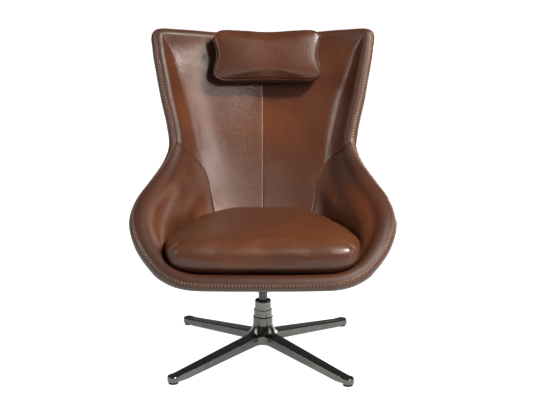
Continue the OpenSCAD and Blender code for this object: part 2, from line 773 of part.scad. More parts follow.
module lower_race() {
    color("silver")
        difference() {
            rod(bearing_diameter, race_low, race_low + race_height);
            rod(rod_end_diameter + 4 * running_gap, 0, tube_top);
        }
}

module ball_cage() {
    ring = (bearing_diameter + rod_end_diameter) / 4;
    color("gold") {
        difference() {
            rod(bearing_diameter, ball_middle - cage_height / 2, ball_middle + cage_height / 2);
            rod(rod_end_diameter + 4 * running_gap, 0, tube_top);
        }
        for (k = [0 : ball_count - 1])
            rotate(360 * k / ball_count)
                translate([ring, 0, ball_middle])
                    sphere(d = ball_diameter, $fn = 24);
    }
}

module upper_race() {
    color("silver")
        difference() {
            rod(bearing_diameter, upper_race_low, shoulder_low);
            rod(rod_end_diameter, 0, tube_top);
        }
}

module retaining_clip() {
    color("black")
        difference() {
            rod(clip_diameter, clip_top - clip_height, clip_top);
            rod(clip_groove, 0, tube_top);
            box([0, -clip_groove / 4, 0], [clip_diameter, clip_groove / 4, tube_top]);
        }
}

module gas_cylinder() {
    color("black")
        difference() {
            union() {
                rod(cylinder_diameter, cylinder_low, taper_low);
                translate([0, 0, taper_low])
                    cylinder(d1 = cylinder_diameter, d2 = taper_small, h = taper_top - taper_low);
            }
            rod(chamber_diameter + 2 * running_gap, cylinder_low + cylinder_plug, chamber_top);
            rod(rod_diameter + 2 * running_gap, 0, chamber_top);
            rod(button_diameter + 2 * running_gap, button_floor, taper_top + taper_top);
        }
}

module release_button() {
    color("silver")
        rod(button_diameter, button_low, button_top);
}

wall_outline = [[housing_front, front_floor], [step_front, front_floor], [step_rear, rear_floor],
    [housing_rear, rear_floor], [housing_rear, wall_rear_top], [wall_mid, wall_mid_top],
    [pivot_y, wall_front_top], [housing_front, wall_front_top]];
floor_outline = [[housing_front, front_floor], [step_front, front_floor], [step_rear, rear_floor],
    [housing_rear, rear_floor], [housing_rear, rear_floor + housing_wall],
    [step_rear + housing_wall / 2, rear_floor + housing_wall],
    [step_front + housing_wall / 2, front_floor + housing_wall], [housing_front, front_floor + housing_wall]];
lever_low = button_top + button_gap;
lever_z = lever_low + lever_thickness / 2;
clamp_y = pivot_y + slot_radius;

module tilt_housing() {
    color("dimgray")
        difference() {
            union() {
                side_plate(-housing_half, -inner_half, wall_outline);
                side_plate(inner_half, housing_half, wall_outline);
                side_plate(-inner_half, inner_half, floor_outline);
                rod(boss_diameter, taper_low, taper_top);
                for (g = [-1, 1])
                    translate([-lever_pivot_x, g * (lug_gap_half + lug_thickness / 2), 0]) {
                        box([-lug_half, -lug_thickness / 2, rear_floor + housing_wall / 2],
                            [lug_half, lug_thickness / 2, lever_z]);
                        translate([0, lug_thickness / 2, lever_z])
                            rotate([90, 0, 0])
                                cylinder(r = lug_half, h = lug_thickness);
                    }
            }
            translate([0, 0, taper_low])
                cylinder(d1 = cylinder_diameter, d2 = taper_small, h = taper_top - taper_low);
            cross_rod(pin_diameter, -plate_half, plate_half, pivot_y, pivot_z);
            cross_rod(clamp_diameter, 0, plate_half, clamp_y, pivot_z);
            translate([0, spring_y, 0])
                rod(tension_diameter + 2 * running_gap, 0, front_floor);
            box([-housing_half - housing_wall, -lug_gap_half, taper_top],
                [-inner_half + running_gap, lug_gap_half, wall_front_top + housing_wall]);
            translate([-lever_pivot_x, plate_half, lever_z])
                rotate([90, 0, 0])
                    cylinder(d = lever_pin_diameter, h = 2 * plate_half);
        }
}

module tilt_pin() {
    color("silver") {
        cross_rod(pin_diameter, -housing_half, housing_half + pin_head_height, pivot_y, pivot_z);
        cross_rod(pin_head, -housing_half - pin_head_height, -housing_half, pivot_y, pivot_z);
    }
}

module pin_clip() {
    color("black")
        difference() {
            cross_rod(pin_head, housing_half, housing_half + pin_head_height, pivot_y, pivot_z);
            cross_rod(pin_diameter, 0, plate_half, pivot_y, pivot_z);
        }
}

module pivot_bush(g) {
    low = g < 0 ? -ear_inner - ear_thickness : ear_inner;
    color("ivory")
        difference() {
            cross_rod(pivot_bush_diameter, low, low + ear_thickness, pivot_y, pivot_z);
            cross_rod(pin_diameter + 2 * running_gap, -plate_half, plate_half, pivot_y, pivot_z);
        }
}

module pivot_bush_left() {
    pivot_bush(-1);
}

module pivot_bush_right() {
    pivot_bush(1);
}

plate_under = mount_height - plate_thickness;
plate_middle = mount_height - plate_thickness / 2;
bolt_places = [for (x = [-bolt_half_spacing, bolt_half_spacing]) for (y = [bolt_front, bolt_rear]) [x, y]];
slot_width = clamp_diameter + 2 * slot_gap;
ear_flare_share = 1.6;

module ear(low) {
    difference() {
        union() {
            side_plate(low, low + ear_thickness, [[pivot_y - ear_radius, pivot_z],
                [pivot_y + ear_radius, pivot_z], [pivot_y + ear_radius * ear_flare_share, plate_under],
                [pivot_y + ear_radius * ear_flare_share, plate_middle],
                [pivot_y - ear_radius * ear_flare_share, plate_middle],
                [pivot_y - ear_radius * ear_flare_share, plate_under]]);
            cross_rod(2 * ear_radius, low, low + ear_thickness, pivot_y, pivot_z);
        }
        cross_rod(pivot_bush_diameter, -plate_half, plate_half, pivot_y, pivot_z);
    }
}

// Ring about the tilt axis, between two angles, as a plate.
module arc_plate(low, top, radius_low, radius_high, from, to) {
    far = radius_high * 2;
    intersection() {
        difference() {
            cross_rod(2 * radius_high, low, top, pivot_y, pivot_z);
            cross_rod(2 * radius_low, -plate_half, plate_half, pivot_y, pivot_z);
        }
        side_plate(low, top, [[pivot_y, pivot_z],
            [pivot_y + far * cos(from), pivot_z + far * sin(from)],
            [pivot_y + far * cos(to), pivot_z + far * sin(to)]]);
    }
}

module sector() {
    low = sector_inner;
    top = sector_inner + sector_thickness;
    difference() {
        arc_plate(low, top, slot_radius - sector_half, slot_radius + sector_half,
            -sector_low_angle, sector_high_angle);
        arc_plate(0, plate_half, slot_radius - slot_width / 2, slot_radius + slot_width / 2,
            0, recline_angle);
        for (a = [0, recline_angle])
            cross_rod(slot_width, 0, plate_half, pivot_y + slot_radius * cos(a),
                pivot_z + slot_radius * sin(a));
        box([0, housing_front, plate_middle], [plate_half, housing_rear, mount_height * 2]);
    }
}

module seat_plate() {
    color("dimgray")
        difference() {
            union() {
                translate([0, 0, plate_under])
                    linear_extrude(height = plate_thickness) {
                        translate([-plate_half + plate_corner, plate_front])
                            square([2 * (plate_half - plate_corner), plate_rear - plate_front]);
                        translate([-plate_half, plate_front + plate_corner])
                            square([2 * plate_half, plate_rear - plate_front - 2 * plate_corner]);
                        for (x = [-plate_half + plate_corner, plate_half - plate_corner])
                            for (y = [plate_front + plate_corner, plate_rear - plate_corner])
                                translate([x, y])
                                    circle(r = plate_corner);
                    }
                ear(-ear_inner - ear_thickness);
                ear(ear_inner);
                sector();
                for (x = [-spring_x, spring_x])
                    translate([x, spring_y, 0])
                        rod(stud_diameter, plate_under - stud_height, plate_middle);
            }
            for (p = bolt_places)
                translate(p)
                    rod(bolt_diameter, 0, mount_height * 2);
        }
}

module plate_bolts() {
    color("silver")
        for (p = bolt_places)
            translate(p) {
                rod(bolt_diameter, plate_under, bolt_top);
                rod(bolt_head, plate_under - bolt_head_height, plate_under);
            }
}

module tee_nuts() {
    color("silver")
        for (p = bolt_places)
            translate(p)
                difference() {
                    rod(tee_diameter, bolt_top - tee_height, bolt_top);
                    rod(bolt_diameter, 0, mount_height * 2);
                }
}

spring_low = seat_low + seat_thickness + face_gap + wire_diameter / 2;
spring_high = plate_under - face_gap - wire_diameter / 2;
ring_steps = 8;
wire_steps = 6;

function coil_centre(x, k) = let (a = 360 * k / ring_steps, r = (spring_diameter - wire_diameter) / 2)
    [x + r * cos(a), spring_y + r * sin(a),
        spring_low + (spring_high - spring_low) * k / (ring_steps * spring_curls)];

module tilt_spring(x) {
    rings = [for (k = [0 : ring_steps * spring_curls]) let (a = 360 * k / ring_steps, c = coil_centre(x, k))
        [for (j = [0 : wire_steps - 1]) let (b = -360 * j / wire_steps)
            c + wire_diameter / 2 * [cos(b) * cos(a), cos(b) * sin(a), sin(b)]]];
    color("silver")
        ring_skin(coil_centre(x, 0), rings, coil_centre(x, ring_steps * spring_curls));
}

least_gap = min([for (i = [0 : ring_steps]) for (j = [i + ring_steps - 2 : i + ring_steps + 2])
    norm(coil_centre(spring_x, j) - coil_centre(spring_x, i))]) - wire_diameter;
echo(least_gap_between_curls = least_gap);

module tilt_spring_left() {
    tilt_spring(-spring_x);
}

module tilt_spring_right() {
    tilt_spring(spring_x);
}

module spring_seat() {
    color("gray")
        translate([0, spring_y, 0])
            difference() {
                box([-seat_half, -seat_depth_half, seat_low], [seat_half, seat_depth_half, seat_low + seat_thickness]);
                rod(tension_diameter + 2 * running_gap, 0, mount_height);
            }
}

module tension_bolt() {
    color("silver")
        translate([0, spring_y, 0]) {
            rod(tension_diameter, knob_low + washer_height, tension_top);
            rod(washer_diameter, rear_floor + housing_wall + face_gap, rear_floor + housing_wall + washer_height);
        }
}

module tension_washer() {
    color("ivory")
        translate([0, spring_y, 0])
            difference() {
                rod(washer_diameter, rear_floor - washer_height, rear_floor);
                rod(tension_diameter + 2 * running_gap, 0, mount_height);
            }
}

module tension_knob() {
    color("black")
        translate([0, spring_y, 0])
            difference() {
                rod(knob_diameter, knob_low, knob_top);
                rod(tension_diameter, knob_low + washer_height, mount_height);
                for (k = [0 : knob_lobes - 1])
                    rotate(360 * k / knob_lobes)
                        translate([knob_diameter / 2 + knob_hollow / 4, 0, 0])
                            rod(knob_hollow, 0, mount_height);
            }
}

module height_lever() {
    half = lug_gap_half - face_gap * 2;
    color("dimgray")
        difference() {
            union() {
                box([-lever_reach, -lever_width / 2, lever_low],
                    [button_diameter / 2, lever_width / 2, lever_low + lever_thickness]);
                translate([-lever_pivot_x, half, lever_z])
                    rotate([90, 0, 0])
                        cylinder(d = lever_hub, h = 2 * half);
            }
            translate([-lever_pivot_x, plate_half, lever_z])
                rotate([90, 0, 0])
                    cylinder(d = lever_pin_diameter + 2 * running_gap, h = 2 * plate_half);
        }
}

module lever_grip() {
    color("black")
        difference() {
            translate([-lever_reach - lever_thickness, 0, lever_z])
                rotate([0, 90, 0])
                    linear_extrude(height = grip_length) {
                        square([grip_thickness, grip_width - grip_thickness], center = true);
                        for (g = [-1, 1])
                            translate([0, g * (grip_width - grip_thickness) / 2])
                                circle(d = grip_thickness);
                    }
            box([-lever_reach, -lever_width / 2, lever_low],
                [0, lever_width / 2, lever_low + lever_thickness]);
        }
}

module lever_pin() {
    half = lug_gap_half + lug_thickness;
    color("silver")
        translate([-lever_pivot_x, half, lever_z])
            rotate([90, 0, 0])
                cylinder(d = lever_pin_diameter, h = 2 * half);
}

sector_outer = sector_inner + sector_thickness;
lock_low = housing_half + face_gap;
lock_high = lock_low + lock_hub;

module clamp_bolt() {
    color("silver") {
        cross_rod(clamp_diameter, sector_inner - face_gap, lock_high + face_gap + clamp_head_height,
            clamp_y, pivot_z);
        cross_rod(clamp_head, sector_inner - face_gap - clamp_head_height, sector_inner - face_gap,
            clamp_y, pivot_z);
        cross_rod(clamp_head, lock_high + face_gap, lock_high + face_gap + clamp_head_height,
            clamp_y, pivot_z);
    }
}

module clamp_washer() {
    color("silver")
        difference() {
            cross_rod(clamp_head, sector_outer + face_gap, inner_half, clamp_y, pivot_z);
            cross_rod(clamp_diameter, 0, plate_half, clamp_y, pivot_z);
        }
}

module lock_lever() {
    color("black")
        difference() {
            union() {
                cross_rod(clamp_head, lock_low, lock_high, clamp_y, pivot_z);
                box([lock_high - lock_thickness, clamp_y - lock_length, pivot_z - lock_width / 2],
                    [lock_high, clamp_y, pivot_z + lock_width / 2]);
                cross_rod(lock_width, lock_high - lock_thickness, lock_high, clamp_y - lock_length, pivot_z);
            }
            cross_rod(clamp_diameter + 2 * running_gap, 0, plate_half * 2, clamp_y, pivot_z);
        }
}

// Rings round the whole tub, on the columns that the padding also has.
function deck_ring(share) = [for (c = columns) disc_sample(share * c[0] * wave(deck_x_shares, c[1], -1),
    deck_centre_share + share * (wave(deck_y_shares, c[1], 1) - deck_centre_share))];
deck_ring_shares = [0.3, 0.6, 0.82, 0.98];
deck_rings = [for (k = deck_ring_shares) deck_ring(k)];
deck_middle = disc_sample(0, deck_centre_share);
column_grid = [for (c = columns) column_samples(c[0], c[1])];
flat_row_count = 3;
tub_rows = concat(
    [for (k = [0 : flat_row_count - 1]) deck_rings[k]],
    [for (k = [0 : pad_row_count + len(rim_edge_shares) - 1]) [for (col = column_grid) col[k]]]
);
core_edge = [for (c = columns) let (u = c[0] * wave(facing_shares, c[1], 1))
    sample(u, 1 - core_inset / line_controls(u)[6])];
core_rows = concat([for (k = [0 : flat_row_count + pad_row_count + 1]) tub_rows[k]], [core_edge]);

module bolt_holes() {
    for (p = bolt_places)
        translate(p)
            rod(bolt_diameter + 2 * bolt_gap, 0, bolt_top - tee_height);
}

module shell_core() {
    color("burlywood")
        difference() {
            ring_skin(
                layer(deck_middle, -core_half),
                concat(
                    [for (r = core_rows) [for (s = r) layer(s, -core_half)]],
                    [for (k = [len(core_rows) - 1 : -1 : 0]) [for (s = core_rows[k]) layer(s, core_half)]]
                ),
                layer(deck_middle, core_half),
                len(core_rows) - 1
            );
            bolt_holes();
            for (p = bolt_places)
                translate(p)
                    rod(tee_diameter, bolt_top - tee_height, mount_height * 2);
        }
}

module outer_cover() {
    rows = tub_rows;
    m = len(rows) - 1;
    color("saddlebrown")
        difference() {
            ring_skin(
                outside(deck_middle, 0),
                concat(
                    [for (k = [0 : m - 1]) [for (s = rows[k]) outside(s, 0)]],
                    [[for (s = rows[m]) layer(s, rim_middle(s) - rim_apex_gap)]],
                    [for (k = [m - 1 : -1 : 0]) [for (s = rows[k]) cover_back(s)]]
                ),
                cover_back(deck_middle),
                m
            );
            bolt_holes();
        }
}

function pad_loops(g, places) = [for (t = places) padding_loop(column_samples(g, t))];
function between(first, from, to, last) = concat([first], [for (j = [from : to]) half_columns[j]], [last]);
back_places = between(panel_gap_share, 1, back_column_count - 1, seam_index - panel_gap_share);
arm_places = between(seam_index + panel_gap_share, back_column_count + 1, side_count - 1, deck_steps);

module back_pad_left() {
    color("sienna")
        mirror([1, 0, 0])
            back_pad_right();
}

module back_pad_right() {
    color("sienna")
        loop_skin(pad_loops(1, back_places), len(back_places));
}

module arm_pad() {
    half = pad_loops(1, arm_places);
    color("sienna")
        loop_skin(concat(
            [for (j = [0 : len(half) - 1]) half[j]],
            [for (j = [len(half) - 2 : -1 : 0]) [for (p = half[j]) [-p[0], p[1], p[2]]]]
        ), len(half) - 1);
}

module seat_deck() {
    color("dimgray")
        ring_skin(
            layer(deck_middle, core_half + layer_gap),
            concat(
                [for (r = deck_rings) [for (s = r) layer(s, core_half + layer_gap)]],
                [for (k = [len(deck_rings) - 1 : -1 : 0]) [for (s = deck_rings[k]) inside(s, 0)]]
            ),
            inside(deck_middle, 0),
            len(deck_rings) - 1
        );
}

// Seat cushion: its underside follows the deck, its top is crowned and its side is boxed.
function cushion_rise(s) = inside(s, 0) + cushion_gap * s[1];
cushion_foot_share = 0.97;
cushion_foot = [for (s = deck_ring(cushion_foot_share)) cushion_rise(s)];
// Each pair is a share of the way up the side, and a share of the outward lean.
cushion_side_shares = [[0.22, 0.38], [0.60, 0.90], [0.92, 1]];
// Each pair is a plan share, and a share of the crown's rise.
cushion_top_shares = [[0.95, 0.16], [0.80, 0.48], [0.45, 0.88]];

function cushion_side(i, up, lean) = let (
    t = columns[i][1],
    f = cushion_foot[i],
    k = 1 + (wave(cushion_scale_shares, t, 1) - 1) * lean,
    z = wave(cushion_edge_shares, t, 1) * tub_unit + tub_rise[2]
) [f[0] * k, cushion_y + (f[1] - cushion_y) * k, f[2] + (z - f[2]) * up];
function cushion_top(i, plan, rise) = let (p = cushion_side(i, 1, 1))
    [p[0] * plan, cushion_y + (p[1] - cushion_y) * plan, p[2] + (cushion_crown - p[2]) * rise];

module seat_cushion() {
    ids = [0 : len(columns) - 1];
    color("peru")
        ring_skin(
            cushion_rise(deck_middle),
            concat(
                [for (k = [0 : flat_row_count - 1]) [for (s = deck_rings[k]) cushion_rise(s)]],
                [cushion_foot],
                [for (e = cushion_side_shares) [for (i = ids) cushion_side(i, e[0], e[1])]],
                [for (e = cushion_top_shares) [for (i = ids) cushion_top(i, e[0], e[1])]]
            ),
            [0, cushion_y, cushion_crown],
            flat_row_count
        );
}

// Head pillow: a flat-cornered outline, drawn in at the sides, swelling to the middle.
pillow_point_count = 36;
pillow_power = 7;
pillow_ring_shares = [0.42, 0.74, 0.92, 1];
pillow_draw_share = 0.035;
pillow_side_power = 3.2;
pillow_edge_power = 2.6;
pillow_swell_power = 0.55;

function pillow_point(i, k, g, w, h, t, wrap) = let (
    a = -360 * i / pillow_point_count,
    c = cos(a),
    s = sin(a),
    r = pow(pow(abs(c), pillow_power) + pow(abs(s), pillow_power), -1 / pillow_power),
    draw = 1 - pillow_draw_share * pow(cos(2 * a), 2),
    x = r * c * k,
    z = r * s * k,
    swell = (1 - pow(abs(x), pillow_side_power)) * (1 - pow(abs(z), pillow_edge_power))
) [x * draw * w, g * t * pow(max(swell, 0), pillow_swell_power) - wrap * x * x, z * draw * h];

module pillow_form(w, h, t, wrap) {
    ids = [0 : pillow_point_count - 1];
    n = len(pillow_ring_shares);
    ring_skin(
        [0, -t, 0],
        concat(
            [for (k = pillow_ring_shares) [for (i = ids) pillow_point(i, k, -1, w, h, t, wrap)]],
            [for (k = [n - 2 : -1 : 0]) [for (i = ids) pillow_point(i, pillow_ring_shares[k], 1, w, h, t, wrap)]]
        ),
        [0, t, 0]
    );
}

module head_pillow() {
    color("peru")
        translate([pillow_x, pillow_y, pillow_z])
            rotate([-pillow_lean, 0, 0])
                pillow_form(pillow_width / 2, pillow_height / 2, pillow_thickness / 2, pillow_wrap);
}

module counterweight() {
    color("saddlebrown")
        translate([pillow_x, weight_y, weight_z])
            rotate([-weight_lean, 0, 0])
                pillow_form(weight_half, weight_height_half, weight_thick_half, 0);
}

// Strap: a band that follows the lining, the rim and the cover.
strap_station_shares = [-17.75, -17.90, 18, 17.90, 17.75, 17.60];
strap_edge_shares = [0, 0.0015, 0.006, 0.015, 0.028, 0.060, 0.100];
strap_middle_share = 0.7;

function strap_sample(u, d) = sample(u, 1 - d / line_controls(u)[6]);
function strap_column(u, o) = let (
    front = concat([for (e = strap_edge_shares) e * tub_unit], [strap_front_run]),
    rear = concat([for (e = strap_edge_shares) e * tub_unit], [strap_middle_share * strap_rear_run, strap_rear_run]),
    nf = len(front),
    nr = len(rear)
) concat(
    [for (k = [nf - 1 : -1 : 0]) inside(strap_sample(u, front[k] - o), o)],
    [for (k = [1 : nr - 1]) outside(strap_sample(u, rear[k] - o), o)]
);

module pillow_strap() {
    loops = [for (u = strap_station_shares) let (
        outer = strap_column(u, strap_gap + strap_thickness),
        inner = strap_column(u, strap_gap)
    ) concat(outer, [for (k = [len(inner) - 1 : -1 : 0]) inner[k]])];
    color("saddlebrown")
        band_skin(loops);
}

// Closed skin over loops made of two equal runs of points, with a strip over each end.
module band_skin(loops) {
    n = len(loops[0]);
    m = n / 2;
    last = (len(loops) - 1) * n;
    polyhedron(
        points = [for (l = loops) for (p = l) p],
        faces = concat(
            [for (j = [0 : len(loops) - 2]) for (i = [0 : n - 1]) let (k = (i + 1) % n)
                each [[j * n + i, j * n + k, j * n + n + i], [j * n + k, j * n + n + k, j * n + n + i]]],
            [for (k = [0 : m - 2]) each [[k, n - 1 - k, k + 1], [k + 1, n - 1 - k, n - 2 - k]]],
            [for (k = [0 : m - 2]) each [[last + k, last + k + 1, last + n - 1 - k],
                [last + k + 1, last + n - 2 - k, last + n - 1 - k]]]
        ),
        convexity = 10
    );
}

star_base();
glide_front_left();
glide_front_right();
glide_back_left();
glide_back_right();
column_tube();
collar_ring();
column_bush();
piston_rod();
lower_race();
ball_cage();
upper_race();
retaining_clip();
gas_cylinder();
release_button();
tilt_housing();
tilt_pin();
pin_clip();
pivot_bush_left();
pivot_bush_right();
seat_plate();
plate_bolts();
tee_nuts();
tilt_spring_left();
tilt_spring_right();
spring_seat();
tension_bolt();
tension_washer();
tension_knob();
height_lever();
lever_grip();
lever_pin();
clamp_bolt();
clamp_washer();
lock_lever();
shell_core();
outer_cover();
back_pad_left();
back_pad_right();
arm_pad();
seat_deck();
seat_cushion();
head_pillow();
pillow_strap();
counterweight();
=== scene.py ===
"""A swivel recliner: a leather tub with wings, a loose seat cushion and a head pillow,
on a gas column and a four-leg star base. Metres, +Z up, the sitter faces -Y."""
import math

import bpy
import numpy as np
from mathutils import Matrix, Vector


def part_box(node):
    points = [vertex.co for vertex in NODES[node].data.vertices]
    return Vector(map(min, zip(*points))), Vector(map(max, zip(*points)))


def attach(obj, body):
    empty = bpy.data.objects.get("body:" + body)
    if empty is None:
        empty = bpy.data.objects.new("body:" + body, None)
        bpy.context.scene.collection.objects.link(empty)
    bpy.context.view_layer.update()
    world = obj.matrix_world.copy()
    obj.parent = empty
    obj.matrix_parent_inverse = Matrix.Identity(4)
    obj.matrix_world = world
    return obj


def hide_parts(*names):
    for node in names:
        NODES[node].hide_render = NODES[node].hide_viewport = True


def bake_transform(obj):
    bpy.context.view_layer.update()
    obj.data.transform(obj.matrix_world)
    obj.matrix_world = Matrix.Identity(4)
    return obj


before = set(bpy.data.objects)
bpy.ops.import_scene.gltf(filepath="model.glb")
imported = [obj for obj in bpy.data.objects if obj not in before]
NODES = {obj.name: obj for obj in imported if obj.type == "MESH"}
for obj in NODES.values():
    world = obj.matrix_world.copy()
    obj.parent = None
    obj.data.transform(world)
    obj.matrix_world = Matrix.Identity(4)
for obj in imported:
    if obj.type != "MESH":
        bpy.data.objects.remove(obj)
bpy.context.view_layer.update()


# ---------------------------------------------------------------- camera and light

WHITE = (1.0, 1.0, 1.0)
# Name, place, target, width, height, watts and tint of each light.
LIGHTS = (
    ("key", (1.66, -1.42, 2.98), (0.0, 0.25, 0.80), 0.45, 0.45, 195.0, (1.0, 0.96, 0.90)),
    ("wing", (1.06, -2.12, 1.96), (-0.2, 0.32, 0.85), 0.32, 0.42, 21.0, (1.0, 0.93, 0.86)),
    ("side", (2.3, -0.75, 1.40), (0.0, 0.20, 0.80), 0.8, 1.3, 16.0, WHITE),
    ("edge", (-2.6, -0.75, 1.6), (0.0, 0.10, 0.65), 0.60, 1.5, 26.0, WHITE),
    ("back", (2.2, 3.0, 0.70), (0.0, 0.3, 0.55), 1.4, 1.0, 60.0, WHITE),
    ("front", (-1.4, -3.9, 1.5), (0.0, 0.0, 0.5), 1.2, 1.2, 1.5, WHITE),
)


def stand(name, data):
    """New object of some data, put in the scene."""
    obj = bpy.data.objects.new(name, data)
    bpy.context.scene.collection.objects.link(obj)
    return obj


def stand_camera():
    """Camera in front of the chair, a little above it, pitched down at it."""
    data = bpy.data.cameras.new("view")
    data.lens = 75.4
    data.sensor_width = 36.0
    data.shift_x = 0.0218
    data.clip_end = 60.0
    camera = stand("view", data)
    pitch = math.radians(14.03)
    camera.location = (0.0, -3.389, 1.319)
    camera.rotation_euler = (math.radians(90.0) - pitch, 0.0, 0.0)
    bpy.context.scene.camera = camera


def soft_box(name, place, target, width, height, watts, tint):
    """Rectangular studio light that faces a point."""
    data = bpy.data.lights.new(name, "AREA")
    data.shape = "RECTANGLE"
    data.size, data.size_y = width, height
    data.energy = watts
    data.color = tint
    lamp = stand(name, data)
    lamp.location = place
    lamp.rotation_euler = (Vector(target) - Vector(place)).to_track_quat("-Z", "Y").to_euler()


stand_camera()
bpy.context.scene.view_settings.view_transform = "Standard"
for light in LIGHTS:
    soft_box(*light)


# ---------------------------------------------------------------- shader words

class Wire:
    """A socket of a node tree, which can stand in a sum or a product."""

    def __init__(self, tree, socket):
        self.tree = tree
        self.socket = socket

    def math(self, operation, other, flipped=False):
        """Result of a maths node for this wire and another, or a number."""
        node = self.tree.nodes.new("ShaderNodeMath")
        node.operation = operation
        pair = [self, other] if not flipped else [other, self]
        for slot, value in zip(node.inputs, pair):
            if isinstance(value, Wire):
                self.tree.links.new(value.socket, slot)
            else:
                slot.default_value = value
        return Wire(self.tree, node.outputs[0])

    def __add__(self, other):
        return self.math("ADD", other)

    def __radd__(self, other):
        return self.math("ADD", other)

    def __sub__(self, other):
        return self.math("SUBTRACT", other)

    def __rsub__(self, other):
        return self.math("SUBTRACT", other, True)

    def __mul__(self, other):
        return self.math("MULTIPLY", other)

    def __rmul__(self, other):
        return self.math("MULTIPLY", other)


class Nodes:
    """A node tree under construction; node() adds any node and gives back its output."""

    def __init__(self, tree):
        self.tree = tree

    def put(self, slot, value):
        """Gives a socket a wire or a plain value."""
        if isinstance(value, Wire):
            self.tree.links.new(value.socket, slot)
        else:
            slot.default_value = value

    def node(self, kind, settings=None, sockets=None, out=0):
        """Adds a node with its settings, or a ramp's stops, and the values of its sockets."""
        node = self.tree.nodes.new(kind)
        for key, value in (settings or {}).items():
            if key == "stops":
                for stop, (place, tone) in zip(node.color_ramp.elements, value):
                    stop.position, stop.color = place, tone
            else:
                setattr(node, key, value)
        for key, value in (sockets or {}).items():
            self.put(node.inputs[key], value)
        return Wire(self.tree, node.outputs[out])


class Finish(Nodes):
    """A material under construction."""

    def __init__(self, name):
        self.material = bpy.data.materials.new(name)
        self.material.use_nodes = True
        super().__init__(self.material.node_tree)
        self.shader = next(n for n in self.tree.nodes if n.type == "BSDF_PRINCIPLED")

    def set(self, **values):
        """Gives the shader's own sockets their wires and values."""
        for key, value in values.items():
            self.put(self.shader.inputs[key.replace("_", " ")], value)

    def place(self):
        """Object coordinates, in metres."""
        return self.node("ShaderNodeTexCoord", out=3)

    def moved(self, where, **sockets):
        """Coordinates that are moved or scaled."""
        return self.node("ShaderNodeMapping", sockets={"Vector": where, **sockets})

    def noise(self, size, detail=2.0, rough=0.5, warp=0.0, where=None):
        """Cloudy pattern whose lumps are about size metres across."""
        return self.node("ShaderNodeTexNoise", sockets={
            "Vector": where or self.place(), "Scale": 1.0 / size, "Detail": detail,
            "Roughness": rough, "Distortion": warp})

    def cells(self, size, where):
        """Pebbled pattern of cells about size metres across."""
        return self.node("ShaderNodeTexVoronoi", sockets={
            "Vector": where, "Scale": 1.0 / size, "Randomness": 0.95})

    def between(self, wire, low, high, to_low=0.0, to_high=1.0):
        """Spreads a band of values over another, smoothly, and holds it outside."""
        return self.node("ShaderNodeMapRange", {"interpolation_type": "SMOOTHSTEP"}, {
            "Value": wire, "From Min": low, "From Max": high, "To Min": to_low, "To Max": to_high})

    def mix(self, mask, first, second):
        """Colour mix; sockets 6 and 7 are the colours, output 2 the result."""
        return self.node("ShaderNodeMix", {"data_type": "RGBA"},
                         {0: mask, 6: first, 7: second}, out=2)

    def bump(self, height, strength, distance, under=None):
        """Normal bent by a height, over another normal if there is one."""
        sockets = {"Height": height, "Strength": strength, "Distance": distance}
        if under:
            sockets["Normal"] = under
        return self.node("ShaderNodeBump", sockets=sockets)


def colour(red, green, blue):
    """Opaque colour from its three shares of linear light."""
    return (red, green, blue, 1.0)


def dimmed(tone, share):
    """The same colour at a share of its light."""
    return colour(*(share * part for part in tone[:3]))


# Sizes of the leather's fine grain, pebbles and slow waves, and the two bands, one of depth
# and one of height, in which the small of the back begins and ends.
GRAIN, PEBBLE, WAVE = 0.0017, 0.0052, 0.038
SMALL_DEPTH, SMALL_HEIGHT = (0.12, 0.18), (0.46, 0.64)


def leather(name, deep, middle, warm, gloss, shift=(0.0, 0.0, 0.0), worn=0.0):
    """Aniline leather: cloudy dye from deep through middle to warm, a grain of 1.7 mm inside
    softer pebbles of 5 mm, and slow waves that break up the gloss. By the piece's own edge
    attribute it is duller at the rim and darker there: painted shade where the rim and the
    front lip turn away from the light, and partly the leather's own darker edge. Its
    roughness is greater by worn in the small of the back."""
    f = Finish(name)
    where = f.moved(f.place(), Location=shift)
    clouds = f.noise(0.20, 3.0, 0.55, 0.4, where)
    wisps = f.noise(0.05, 3.0, 0.6, 0.3, where)
    patches = f.noise(0.24, 2.0, 0.5, 0.5, f.moved(where, Location=(3.1, 1.7, 0.4)))
    specks = f.noise(0.0035, 2.0, 0.6, 0.0, where)
    grain, pebbles = f.cells(GRAIN, where), f.cells(PEBBLE, where)
    dye = f.mix(f.between(clouds * 0.7 + wisps * 0.3, 0.34, 0.66), deep, middle)
    dye = f.mix(f.between(patches, 0.42, 0.70, 0.0, 0.9), dye, warm)
    dye = f.mix(f.between(grain, 0.30, 0.75, 0.0, 0.22), dye, deep)
    edge = f.node("ShaderNodeAttribute", {"attribute_name": "edge"}, out=2)
    depth, height = (f.node("ShaderNodeSeparateXYZ", sockets={"Vector": f.place()}, out=axis)
                     for axis in (1, 2))
    small = f.between(depth, *SMALL_DEPTH) * (1.0 - f.between(height, *SMALL_HEIGHT))
    # Base colour falls to a dark tone by the edge attribute: painted shade on the rolled rim and
    # front lip, partly the leather's own darker edge.
    f.set(Base_Color=f.mix(edge * 0.70, dye, dimmed(deep, 0.42)),
          Roughness=(gloss + (specks - 0.5) * 0.16 + (clouds - 0.5) * 0.10 + edge * 0.34
                     + small * worn),
          Specular_IOR_Level=0.36, IOR=1.5, Coat_Roughness=0.22,
          Coat_Weight=0.14 - small * (0.5 * worn) - edge * 0.13)
    low = f.bump(f.noise(WAVE, 2.0, 0.5, 0.2, where), 0.35, 0.0020)
    f.set(Normal=f.bump(grain, 0.40, 0.00045, f.bump(pebbles, 0.30, 0.0008, low)))
    return f.material


